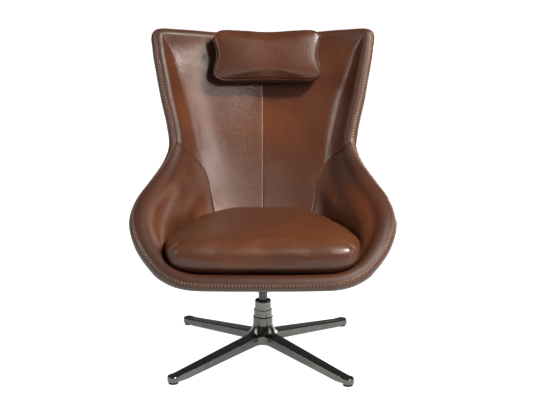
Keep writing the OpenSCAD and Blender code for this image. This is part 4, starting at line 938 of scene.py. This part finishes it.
def cushion_rings():
    """Rings of the seat cushion: its underside on the deck, a quarter of an ellipse out to
    the belt, and a quarter of a superellipse, |x|^5.6 + |z|^3 = 1, from there to the crown."""
    t, g = around(260)
    rows = [deck_ring(t, g, share, 0.001) for share in (0.2, 0.4, 0.6, 0.78, 0.90, 0.955)]
    foot = rows[-1]
    lean = spread(CUSHION_LEAN, t, 1.0)
    belt = spread(CUSHION_BELT, t, 1.0)

    def ring(plan, height):
        """The foot's ring, grown in plan and put at a height."""
        y = CUSHION_MIDDLE + (foot[:, 1] - CUSHION_MIDDLE) * plan
        return np.stack([foot[:, 0] * plan, y, height], -1)

    for angle in np.radians(np.linspace(8.0, 90.0, 9)):
        rows.append(ring(1.0 + (lean - 1.0) * np.sin(angle),
                         belt - (belt - foot[:, 2]) * np.cos(angle)))
    for angle in np.radians(np.linspace(7.0, 86.0, 16)):
        rows.append(ring(lean * np.cos(angle) ** (2 / SIDE_PLAN),
                         belt + (CUSHION_CROWN - belt) * np.sin(angle) ** (2 / SIDE_HEIGHT)))
    return np.stack(rows)


def gather_corner(obj, side):
    """Three short pleats over a front corner of the cushion: each line starts below the
    belt and runs up and in, z as w and the way in as w squared, fanned by about 30 degrees
    to each side."""
    points = vectors(obj.data.vertices, "co")
    corner = points[np.argmax(side * CORNER_X * points[:, 0] - CORNER_Y * points[:, 1])]
    w = np.linspace(0.0, 1.0, 24)
    for turn, step in PLEATS:
        c, s = math.cos(turn), math.sin(turn)
        inward = np.array([-side * (CORNER_X * c + CORNER_Y * s), CORNER_Y * c - CORNER_X * s, 0])
        path = corner + step * np.array([side * CORNER_Y, CORNER_X, 0.0])
        path = path + inward * (PLEAT_IN * w ** 2)[:, None]
        path[:, 2] = corner[2] - PLEAT_START + PLEAT_RISE * w
        near = points[((path[:, None] - points[None]) ** 2).sum(-1).argmin(1)]
        press_seam(obj, near, PLEAT_DEPTH, PLEAT_WIDTH)


def make_cushion():
    """Seat cushion: a crowned case with a soft boxed edge, filled, with pleated corners."""
    top = np.array([0.0, CUSHION_MIDDLE, CUSHION_CROWN])
    obj = closed_rings("seat_cushion_case", cushion_rings(), deck_middle(0.001)[0], top,
                       CUSHION, "seat")
    settle(obj, voxel=0.006, pressure=3.0, cap=0.004, bend=12.0,
           keep=lambda points: smooth_step((points[:, 2] - FREE_FROM) / FREE_RUN))
    for side in (-1.0, 1.0):
        gather_corner(obj, side)
    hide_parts("seat_cushion")


make_cushion()

PILLOW_CENTRE = np.array([0.013, 0.3036, 0.889])
PILLOW_LEAN = math.radians(15.5)
PILLOW_SHAPE = {"width": 0.172, "height": 0.084, "thick": 0.042, "wrap": 0.016, "power": 6.5,
                "draw": 0.05, "full": 0.75, "box": 0.50}
POUCH_CENTRE = np.array([0.013, 0.3907, 0.808])
POUCH_LEAN = math.radians(16.2)
POUCH_SHAPE = {"width": 0.080, "height": 0.050, "thick": 0.0105, "wrap": 0.0, "power": 6.0,
               "draw": 0.02, "full": 0.5, "box": 0.0}


def pillow_outline(shape, count):
    """Outline |x|^p + |z|^p = 1 of a pillow, and how far it is drawn in between its corners."""
    a = np.linspace(0, 2 * np.pi, count, endpoint=False)
    c, s = np.cos(a), np.sin(a)
    r = (np.abs(c) ** shape["power"] + np.abs(s) ** shape["power"]) ** (-1 / shape["power"])
    return r * c, r * s, 1 - shape["draw"] * np.cos(2 * a) ** 2


def pillow_ring(shape, outline, k, depth):
    """Ring at share k of an outline and at a depth; its ends bend forwards by wrap times x
    squared."""
    x, z, pull = outline[0] * k, outline[1] * k, outline[2]
    return np.stack([x * pull * shape["width"], depth - shape["wrap"] * x * x,
                     z * pull * shape["height"]], -1)


def pillow_rings(shape, count):
    """Rings from the front's middle over the edge to the rear's middle. The face swells as a
    power of (1 - |x|^3.2)(1 - |z|^2.6) over a wall that is box times as thick and bulges a
    little."""
    outline = pillow_outline(shape, count)
    thick, box = shape["thick"], shape["box"]
    shares = 1 - (1 - np.linspace(0.05, 1.0, 26)) ** 1.7

    def swell(k):
        """Half thickness at share k of the outline."""
        x, z = (np.minimum(np.abs(part * k), 1.0) for part in outline[:2])
        return thick * (box + (1 - box) * ((1 - x ** 3.2) * (1 - z ** 2.6)) ** shape["full"])

    places = [(k, -swell(k)) for k in shares]
    if box:
        places += [(1.0 + 0.022 * (1 - turn * turn), box * thick * turn)
                   for turn in np.linspace(-1.0, 1.0, 11)[1:-1]]
    places += [(k, swell(k)) for k in (shares[::-1] if box else shares[-2::-1])]
    return np.stack([pillow_ring(shape, outline, k, depth) for k, depth in places])


def leaning(centre, lean):
    """Function that turns points made flat, with their thickness along y, back by a lean,
    and moves them to a centre."""
    c, s = math.cos(lean), math.sin(lean)

    def place(points):
        """Points turned about x and moved."""
        x, y, z = np.moveaxis(points, -1, 0)
        return np.stack([x, c * y + s * z, -s * y + c * z], -1) + centre
    return place


def pillow_case(name, shape, count, place, material, body):
    """Closed case of a pillow."""
    front, rear = (place(np.array([0.0, side * shape["thick"], 0.0])) for side in (-1.0, 1.0))
    rings = place(pillow_rings(shape, count))
    return closed_rings(name, rings, front, rear, material, body)


def snapped(obj, path):
    """Path moved on to a piece: each point goes to the nearest vertex, then the line is
    smoothed round its loop."""
    points = vectors(obj.data.vertices, "co")
    nearest = np.concatenate([((part[:, None] - points[None]) ** 2).sum(-1).argmin(1)
                              for part in np.array_split(path, 60)])
    line, lift = points[nearest], vectors(obj.data.vertices, "normal")[nearest]
    for _ in range(6):
        line, lift = (0.5 * f + 0.25 * (np.roll(f, 1, 0) + np.roll(f, -1, 0))
                      for f in (line, lift))
    return line, unit(lift)


def welt(name, line, lift, radius=0.0018, sunk=0.0006, sides=8):
    """Thin round cord of leather along a closed line, sunk a little into the seam."""
    ahead = unit(np.roll(line, -1, 0) - np.roll(line, 1, 0))
    aside = unit(np.cross(ahead, lift))
    ring = circle(aside, np.cross(aside, ahead), sides)
    points = (line - lift * sunk)[:, None] + ring * radius
    faces = quads(len(line) + 1, sides, wrap=True) % (len(line) * sides)
    piece(name, points.reshape(-1, 3), faces, PILLOW, "pillow")


def make_pillow():
    """Head pillow: a crowned box, filled, with a welt round its front face and one round
    its rear."""
    place = leaning(PILLOW_CENTRE, PILLOW_LEAN)
    obj = pillow_case("head_pillow_case", PILLOW_SHAPE, 200, place, PILLOW, "pillow")
    settle(obj, voxel=0.0045, pressure=4.0, cap=0.005, bend=5.0, slack=0.002)
    outline = pillow_outline(PILLOW_SHAPE, 720)
    wall = PILLOW_SHAPE["box"] * PILLOW_SHAPE["thick"]
    for name, side in (("pillow_welt_front", -1.0), ("pillow_welt_rear", 1.0)):
        edge = place(pillow_ring(PILLOW_SHAPE, outline, 1.0, side * wall))
        line, lift = snapped(obj, edge)
        press_seam(obj, line, depth=0.0016, width=0.0045)
        welt(name, line, lift)
    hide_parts("head_pillow")


def make_counterweight():
    """Flat stitched pouch behind the back that balances the pillow."""
    obj = pillow_case("counterweight_pouch", POUCH_SHAPE, 160, leaning(POUCH_CENTRE, POUCH_LEAN),
                      COVER, "weight")
    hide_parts("counterweight")


# Stations of the strap's edges, its run down the front and the rear, its gap to the leather,
# its thickness at the edges and how much more its middle has.
STRAP_LEFT, STRAP_RIGHT = -17.75, 17.60
STRAP_FRONT, STRAP_REAR = 0.150, 0.250
STRAP_GAP, STRAP_THICK, STRAP_CROWN = 0.0013, 0.0004, 0.0020


def strap_run(u, lift):
    """Rows over the top edge from front to rear, at a lift off the leather."""
    front = STRAP_FRONT * (1 - np.linspace(0, 1, 34)) ** 1.6
    rear = STRAP_REAR * np.linspace(0, 1, 44)[1:] ** 1.6
    rows = []
    for side, distances in ((1, front), (-1, rear)):
        for d in distances:
            point, normal, _, lining, outside, _ = tub(u, 1 - (d - lift) / reach(u))
            t = lining + outside
            x = np.clip(1 - d / (NOSE_LENGTH * t + lift), 0, 1)
            h = (t / 2 + lift) * (1 - x ** NOSE_POWER) ** (1 / NOSE_POWER)
            rows.append(point + normal * ((lining - outside) / 2 + side * h)[..., None])
    return np.stack(rows)


def make_strap():
    """Leather strap from behind the pillow, over the top edge, down to below the pouch. It is
    thickest along its middle, by 1 - |x|^6."""
    across = np.linspace(0.0, 1.0, 15)
    u = STRAP_LEFT - across * ((LAST + STRAP_LEFT) + (LAST - STRAP_RIGHT))
    u = np.where(u < -LAST, u + 2 * LAST, u)
    inner = strap_run(u, STRAP_GAP)
    thick = STRAP_THICK + STRAP_CROWN * (1 - np.abs(2 * across - 1) ** 6)
    outer = inner + unit(strap_run(u, STRAP_GAP + 0.002) - inner) * thick[None, :, None]
    rows, columns = outer.shape[:2]
    n = 2 * columns
    last = (rows - 1) * n
    points = np.concatenate([outer, inner[:, ::-1]], axis=1).reshape(-1, 3)
    faces = quads(rows, n, wrap=True).tolist()
    for k in range(columns - 1):
        faces += [[k, k + 1, n - 2 - k, n - 1 - k],
                  [last + n - 1 - k, last + n - 2 - k, last + k + 1, last + k]]
    obj = piece("pillow_strap_leather", points, faces, COVER, "seat")
    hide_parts("pillow_strap")


make_pillow()
make_counterweight()
make_strap()


# ---------------------------------------------------------------- star base and column

# Degrees that the base is turned from the chair, and the angle of each leg.
BASE_TURN = 1.6
LEG_ANGLES = np.radians(45.0 - BASE_TURN + 90.0 * np.arange(4))
FOOT_RADIUS, BOSS_RADIUS = 0.360, 0.0185
ROOT_RADIUS, ROOT_HALF, TIP_HALF = 0.058, 0.0225, 0.0170
CROTCH, NECK_RADIUS, NECK_WAIST, NECK_TOP = 0.028, 0.0305, 0.096, 0.122
ROOT_TOP, FOOT_TOP, HUB_UNDER, HUB_RADIUS, FOOT_UNDER = 0.065, 0.024, 0.040, 0.046, 0.007
# Where the upper side comes down to the flat of the foot, and the round between them; the
# radius that sets the crotch's width, how far inside the foot's middle the straight edge
# ends, and the run over which the middle line moves from the neck to the leg.
FLAT_RADIUS, FLAT_ROUND = 0.3508, 0.0015
CROTCH_AT, FOOT_JOIN, AXIS_RUN = 0.05, 0.007, 0.09
# Rounds of the lower and the upper edge, how far the sides lean in between them, and the
# inset of the underside's grid.
LOWER_ROUND, UPPER_ROUND, DRAFT, UNDER_INSET = 0.0014, 0.0034, 0.0006, 0.0016


def leg_half(x):
    """Half width of a leg, which tapers evenly from its root to its foot."""
    return ROOT_HALF + (TIP_HALF - ROOT_HALF) * (x - ROOT_RADIUS) / (FOOT_RADIUS - ROOT_RADIUS)


def leg_outline():
    """Half outline of a leg from the middle of the crotch to the tip, in the leg's own
    plane: an arc of the crotch, the straight edge, and the round of the foot; and beside it
    the line that the surface runs in to: the neck's circle, then the leg's middle."""
    middle = (leg_half(CROTCH_AT) + CROTCH) / math.sin(math.pi / 4)
    turn = np.linspace(math.pi / 4, math.pi / 2, 12)
    start = middle * math.cos(math.pi / 4)
    arc = np.stack([start - CROTCH * np.cos(turn), start - CROTCH * np.sin(turn)], -1)
    joined = leg_half(FOOT_RADIUS - FOOT_JOIN)
    end = FOOT_RADIUS - math.sqrt(BOSS_RADIUS ** 2 - joined ** 2)
    x = np.linspace(start, end, 40)[1:]
    edge = np.stack([x, leg_half(x)], -1)
    first = math.atan2(edge[-1, 1], end - FOOT_RADIUS)
    around_foot = np.linspace(first, 0.0, 22)[1:]
    foot = np.stack([FOOT_RADIUS + BOSS_RADIUS * np.cos(around_foot),
                     BOSS_RADIUS * np.sin(around_foot)], -1)
    outer = np.concatenate([arc, edge, foot])
    swing = np.linspace(math.pi / 4, 0.0, len(arc))
    neck = NECK_RADIUS * np.stack([np.cos(swing), np.sin(swing)], -1)
    run = outer[len(arc):, 0]
    inner = run - (start - NECK_RADIUS) * (1 - smooth_step((run - start) / AXIS_RUN))
    axis = np.stack([np.minimum(inner, FOOT_RADIUS), np.zeros_like(run)], -1)
    return outer, np.concatenate([neck, axis])


def base_top(r):
    """Height of the base's upper side at a radius: the neck's flare falls as (1 - w)^3.2 to
    the roots of the legs, and from there it slopes evenly to the flat of the foot."""
    w = np.clip((r - NECK_RADIUS) / (ROOT_RADIUS - NECK_RADIUS), 0.0, 1.0)
    flare = ROOT_TOP + (NECK_WAIST - ROOT_TOP) * (1 - w) ** 3.2
    slope = (FOOT_TOP - ROOT_TOP) / (FLAT_RADIUS - ROOT_RADIUS)
    line = ROOT_TOP + slope * (r - ROOT_RADIUS)
    soft = 0.5 * (line + FOOT_TOP + np.sqrt((line - FOOT_TOP) ** 2 + FLAT_ROUND ** 2))
    return np.where(r < ROOT_RADIUS, flare, soft)


def base_under(r):
    """Height of the base's underside at a radius."""
    return np.interp(r, [0.0, HUB_RADIUS, FOOT_RADIUS - 2 * BOSS_RADIUS, 1.0],
                     [HUB_UNDER, HUB_UNDER, FOOT_UNDER, FOOT_UNDER])


def level(plan, kind):
    """Height of the base's upper side or underside at each point of a plan."""
    return kind(np.linalg.norm(plan, axis=1))


def leg_rows(outer, core):
    """Plan and height of each row of a leg's skin: from the middle of the underside out to
    the lower edge, up the side, over a rounded upper edge and in to the neck and the leg's
    middle."""
    ahead = unit(np.gradient(outer, axis=0))
    outward = np.stack([ahead[:, 1], -ahead[:, 0]], -1)
    bottom, top = level(outer, base_under), level(outer, base_top)
    rows = []
    for share in (0.0, 0.4, 0.8):
        plan = core * (1 - share) + (outer - outward * UNDER_INSET) * share
        rows.append((plan, level(plan, base_under)))
    rows.append((outer - outward * LOWER_ROUND, bottom))
    rows.append((outer, bottom + LOWER_ROUND))
    for share in (0.2, 0.5, 0.8):
        rise = share * (top - bottom - LOWER_ROUND - UPPER_ROUND)
        rows.append((outer - outward * DRAFT * share, bottom + LOWER_ROUND + rise))
    for angle in np.radians([0.0, 18.0, 36.0, 54.0, 72.0, 90.0]):
        plan = outer - outward * (DRAFT + UPPER_ROUND * (1 - math.cos(angle)))
        rows.append((plan, level(plan, base_top) - UPPER_ROUND * (1 - math.sin(angle))))
    rim = outer - outward * (DRAFT + UPPER_ROUND)
    for share in np.linspace(0.0, 1.0, 12)[1:]:
        plan = rim * (1 - share) + core * share
        rows.append((plan, level(plan, base_top)))
    return rows


def make_star():
    """Polished four-leg base: one leg's skin, turned to each leg in one grid."""
    outer, core = (np.concatenate([half * np.array([1.0, -1.0]), half[-2::-1]])
                   for half in leg_outline())
    grid = np.stack([np.column_stack(row) for row in leg_rows(outer, core)])[:, :-1]
    legs = []
    for c, s in zip(np.cos(LEG_ANGLES), np.sin(LEG_ANGLES)):
        x, y, z = np.moveaxis(grid, -1, 0)
        legs.append(np.stack([c * x - s * y, s * x + c * y, z], -1))
    obj = sheet("star_base_casting", np.concatenate(legs, axis=1), BASE_METAL, "base",
                wrap=True)
    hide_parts("star_base")


def rounded(corners, size, steps=4):
    """Closed profile whose corners are cut to small rounds of a size."""
    corners = np.asarray(corners, float)
    before = unit(np.roll(corners, 1, 0) - corners)
    after = unit(np.roll(corners, -1, 0) - corners)
    share = np.linspace(0.0, 1.0, steps)[None, :, None]
    a, b = (corners + before * size)[:, None], (corners + after * size)[:, None]
    mid = corners[:, None]
    return ((1 - share) ** 2 * a + 2 * share * (1 - share) * mid + share ** 2 * b).reshape(-1, 2)


def ring_section(inner, outer, low, high):
    """Corners of a plain ring's section."""
    return ((inner, low), (outer, low), (outer, high), (inner, high))


# Name, size of the rounds, material, slot, replaced node and section of each turned piece.
TURNED = (
    ("base_neck", 0.0011, BASE_METAL, "base_metal", None,
     ring_section(0.0251, NECK_RADIUS, 0.085, NECK_TOP - 0.0004)),
    ("column_tube_turned", 0.0009, SLEEVE_METAL, "sleeve_metal", "column_tube",
     ring_section(0.0220, 0.0249, 0.0425, 0.1708)),
    ("collar_turned", 0.0011, SLEEVE_METAL, "sleeve_metal", "collar_ring",
     ring_section(0.0250, 0.0280, 0.1226, 0.1450)),
    ("column_bush_turned", 0.0008, BLACK_PLASTIC, "black_plastic", "column_bush",
     ((0.01405, 0.1130), (0.0219, 0.1130), (0.0219, 0.1710), (0.0245, 0.1712),
      (0.0245, 0.1740), (0.01405, 0.1740))),
)


def make_column():
    """Neck of the base, outer tube, collar and guide bush, turned about the upright axis."""
    count = 128
    turn = np.linspace(0, 2 * np.pi, count, endpoint=False)
    for name, size, material, slot, node, corners in TURNED:
        section = rounded(corners, size)
        radius, height = section[:, :1], section[:, 1:]
        grid = np.stack([radius * np.cos(turn), radius * np.sin(turn),
                         np.broadcast_to(height, (len(section), count))], -1)
        faces = quads(len(section) + 1, count, wrap=True) % (len(section) * count)
        obj = piece(name, grid.reshape(-1, 3), faces, material, "base")
        if node:
            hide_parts(node)


make_star()
make_column()


# ---------------------------------------------------------------- tilt springs

SPRING_CURLS, CURL_STEPS = 6, 36
WIRE_RADIUS = 0.002
SPRING_SPLIT = 0.24


def spring_part(name, node, first, last):
    """Wire of a tilt spring between two shares of its height: a circle carried along the
    helix x = R cos a, y = R sin a, with z in step with a."""
    low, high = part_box(node)
    radius = 0.5 * (high.x - low.x) - WIRE_RADIUS
    bottom, top = low.z + WIRE_RADIUS, high.z - WIRE_RADIUS
    steps = int(round((last - first) * SPRING_CURLS * CURL_STEPS))
    share = np.linspace(first, last, steps + 1)
    turn = 2 * np.pi * SPRING_CURLS * share
    out = np.stack([np.cos(turn), np.sin(turn), np.zeros_like(turn)], -1)
    centre = out * radius + np.array([0.5 * (low.x + high.x), 0.5 * (low.y + high.y), 0.0])
    centre[:, 2] = bottom + (top - bottom) * share
    ahead = unit(np.gradient(centre, axis=0))
    up = np.cross(ahead, out)
    rings = centre[:, None] + circle(out, up, 10) * WIRE_RADIUS
    obj = closed_rings(name, rings, centre[0], centre[-1], SPRING, None)
    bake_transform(obj)
    return obj


def make_springs():
    """Both tilt springs, each in two lengths: a lower foot and an upper coil."""
    for side in ("left", "right"):
        node = "tilt_spring_" + side
        spring_part(node + "_foot", node, 0.0, SPRING_SPLIT)
        upper = spring_part(node + "_coil", node, SPRING_SPLIT, 1.0)
        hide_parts(node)


make_springs()


# ---------------------------------------------------------------- threads

# Sides and steps of each thread, and how far its ends are sunk in.
THREAD_SIDES, THREAD_STEPS, THREAD_SUNK = 5, 5, 0.0006
# The rim's cross stitch: height of its ends beside the seam, pitch, half its share of the
# pitch, radius and rise.
CROSS_HEIGHT, CROSS_PITCH, CROSS_HALF = 0.0050, 0.0095, 0.42
CROSS_RADIUS, CROSS_RISE = 0.00085, 0.0011
# Height beside the seam and lift of each line of the rim's binding.
BINDING_SECTION = ((-0.0070, -0.0006), (-0.0066, 0.0004), (-0.0050, 0.0006), (-0.0015, 0.0006),
                   (0.0, -0.0001),
                   (0.0015, 0.0006), (0.0050, 0.0006), (0.0066, 0.0004), (0.0070, -0.0006))
# Name, offset from the seam, pitch, share of the pitch, radius and thread of each row of top
# stitch, whether it is on the left and whether it runs beside the arm's seam.
SEAM_ROWS = (
    ("middle_seam_stitch", 0.0016, 0.0062, 0.86, 0.00075, TAN_THREAD, True, False),
    ("arm_seam_stitch_left", 0.0045, 0.0055, 0.75, 0.00055, BROWN_THREAD, True, True),
    ("arm_seam_stitch_right", 0.0045, 0.0055, 0.75, 0.00055, BROWN_THREAD, False, True),
)


def stitches(name, starts, ends, lifts, radius, material, rise):
    """Many short threads in one mesh: each is a tube from start to end that rises along
    lifts by rise times a half wave, with its ends sunk in."""
    w = np.linspace(0, 1, THREAD_STEPS)
    bow = np.sin(np.pi * w)
    height = rise * bow - THREAD_SUNK * (1 - bow)
    centre = (starts[:, None] * (1 - w)[None, :, None] + ends[:, None] * w[None, :, None]
              + lifts[:, None] * height[None, :, None])
    ring = circle(unit(np.cross(unit(ends - starts), lifts)), lifts, THREAD_SIDES)
    thick = radius * (0.75 + 0.25 * bow)
    points = centre[:, :, None] + ring[:, None] * thick[None, :, None, None]
    first = np.arange(len(starts)) * THREAD_STEPS * THREAD_SIDES
    faces = quads(THREAD_STEPS, THREAD_SIDES, wrap=True)[None] + first[:, None, None]
    piece(name, points.reshape(-1, 3), faces.reshape(-1, 4), material, "seat")


def even_places(points, pitch):
    """Shares at which a polyline is cut into even steps of about a pitch."""
    length = measure(points, 0)
    count = int(round(length[-1] / pitch))
    at = (np.arange(count) + 0.5) / count * length[-1]
    return np.interp(at, length, np.linspace(0, 1, len(points)))


def rim_place(u, h):
    """Place on the rounded rim at station u and height h to one side of its seam, with the
    way out of the leather there."""
    lining, outside = tub(u, np.ones_like(u))[3:5]
    t = lining + outside
    y = np.clip(2 * np.abs(h) / t, 0, 1)
    d = NOSE_LENGTH * t * (1 - (1 - y ** NOSE_POWER) ** (1 / NOSE_POWER))
    point, normal, out, lining, outside, _ = tub(u, 1 - d / reach(u))
    slope = (y ** 1.3 * np.sign(h))[..., None]
    return point + normal * ((lining - outside) / 2 + h)[..., None], unit(out + normal * slope)


def make_binding():
    """Narrow band of darker leather round the rim, which the cross stitch holds down."""
    u = np.linspace(-LAST, LAST, 901)[:-1]
    rows = []
    for h, lift in BINDING_SECTION:
        place, out = rim_place(u, np.full_like(u, h))
        rows.append(place + out * lift)
    obj = sheet("rim_binding", np.stack(rows), BINDING, "seat", wrap=True)
    face_out(obj, (0.0, -1.0, 0.0))


def rim_stitches():
    """Cross stitch round the whole rim: two threads in each step, over the seam."""
    u = np.linspace(-LAST, LAST, 4001)
    at = -LAST + 2 * LAST * even_places(face(u, np.ones_like(u), 1), CROSS_PITCH)
    half = CROSS_HALF * np.gradient(at)

    def corner(shift, side):
        """Thread ends at a shift from the steps and on one side of the seam."""
        v = at + shift
        v = np.where(v > LAST, v - 2 * LAST, np.where(v < -LAST, v + 2 * LAST, v))
        return rim_place(v, np.full_like(v, side * CROSS_HEIGHT))

    first, out = corner(-half, 1)
    starts = np.concatenate([first, corner(half, 1)[0]])
    ends = np.concatenate([corner(half, -1)[0], corner(-half, -1)[0]])
    stitches("rim_cross_stitch", starts, ends, np.concatenate([out, out]), CROSS_RADIUS,
             RIM_THREAD, CROSS_RISE)


def seam_stitches(name, offset, pitch, filled, radius, material, left, by_arm):
    """Top stitch beside a seam of the back: a row of threads at an offset from its edge."""
    run = BACK_RUN[:, -1:] - BACK_RUN if by_arm else BACK_RUN
    rows = len(PANEL_ROWS)
    column = int(np.argmin(np.abs(run[rows // 2] - offset)))
    line, lift = (grid[:rows, column] * (MIRROR if left else 1.0)
                  for grid in (BACK, BACK_NORMALS))
    places = even_places(line, pitch)
    share = np.linspace(0, 1, rows)

    def pick(field, s):
        """Rows of a field at shares of its run, by straight lines between them."""
        return np.stack([np.interp(s, share, field[:, k]) for k in range(3)], -1)

    half = 0.5 * filled * np.median(np.diff(places))
    stitches(name, pick(line, places - half), pick(line, places + half),
             unit(pick(lift, places)), radius, material, rise=0.0004)


make_binding()
rim_stitches()
for row in SEAM_ROWS:
    seam_stitches(*row)


# ---------------------------------------------------------------- floor and room

def paper(name, tone, glow):
    """Studio paper that glows enough to come out white."""
    f = Finish(name)
    f.set(Base_Color=tone, Roughness=0.6 + (f.noise(0.4) - 0.5) * 0.05,
          Emission_Color=colour(1.0, 1.0, 1.0), Emission_Strength=glow)
    return f.material


def stage_piece(name, points, faces, glossy):
    """Part of the studio: the camera sees it, and it throws no light on the chair, though
    it may show in its gloss."""
    mesh = bpy.data.meshes.new(name)
    mesh.from_pydata(points, [], faces)
    mesh.materials.append(paper("white_" + name, colour(0.45, 0.45, 0.45), 1.0))
    obj = stand(name, mesh)
    obj.visible_diffuse = False
    obj.visible_glossy = glossy


def make_studio():
    """Wide white floor, and a white wall all round it."""
    half, wall_radius, high, low, sides = 24.0, 24.0 * 0.98, 14.0, -0.5, 48
    corners = [(-half, -half, 0), (half, -half, 0), (half, half, 0), (-half, half, 0)]
    stage_piece("floor", corners, [(0, 1, 2, 3)], True)
    turn = np.linspace(0, 2 * np.pi, sides, endpoint=False)
    ring = wall_radius * np.stack([np.cos(turn), np.sin(turn)], -1)
    wall = np.concatenate([np.column_stack([ring, np.full(sides, z)]) for z in (low, high)])
    stage_piece("wall", wall.tolist(), quads(2, sides, wrap=True, flip=True).tolist(), False)


def make_room():
    """Dim room: a little lighter behind the chair than in front of it."""
    world = bpy.data.worlds.new("studio")
    world.use_nodes = True
    room = Nodes(world.node_tree)
    direction = room.node("ShaderNodeTexCoord", out=0)
    depth = room.node("ShaderNodeSeparateXYZ", sockets={"Vector": direction}, out=1)
    front, back = colour(0.07, 0.07, 0.07), colour(0.13, 0.13, 0.13)
    shade = room.node("ShaderNodeValToRGB", {"stops": ((0.0, front), (0.6, back))}, {0: depth})
    background = room.tree.nodes["Background"].inputs
    room.put(background["Color"], shade)
    room.put(background["Strength"], 1.0)
    bpy.context.scene.world = world


make_studio()
make_room()
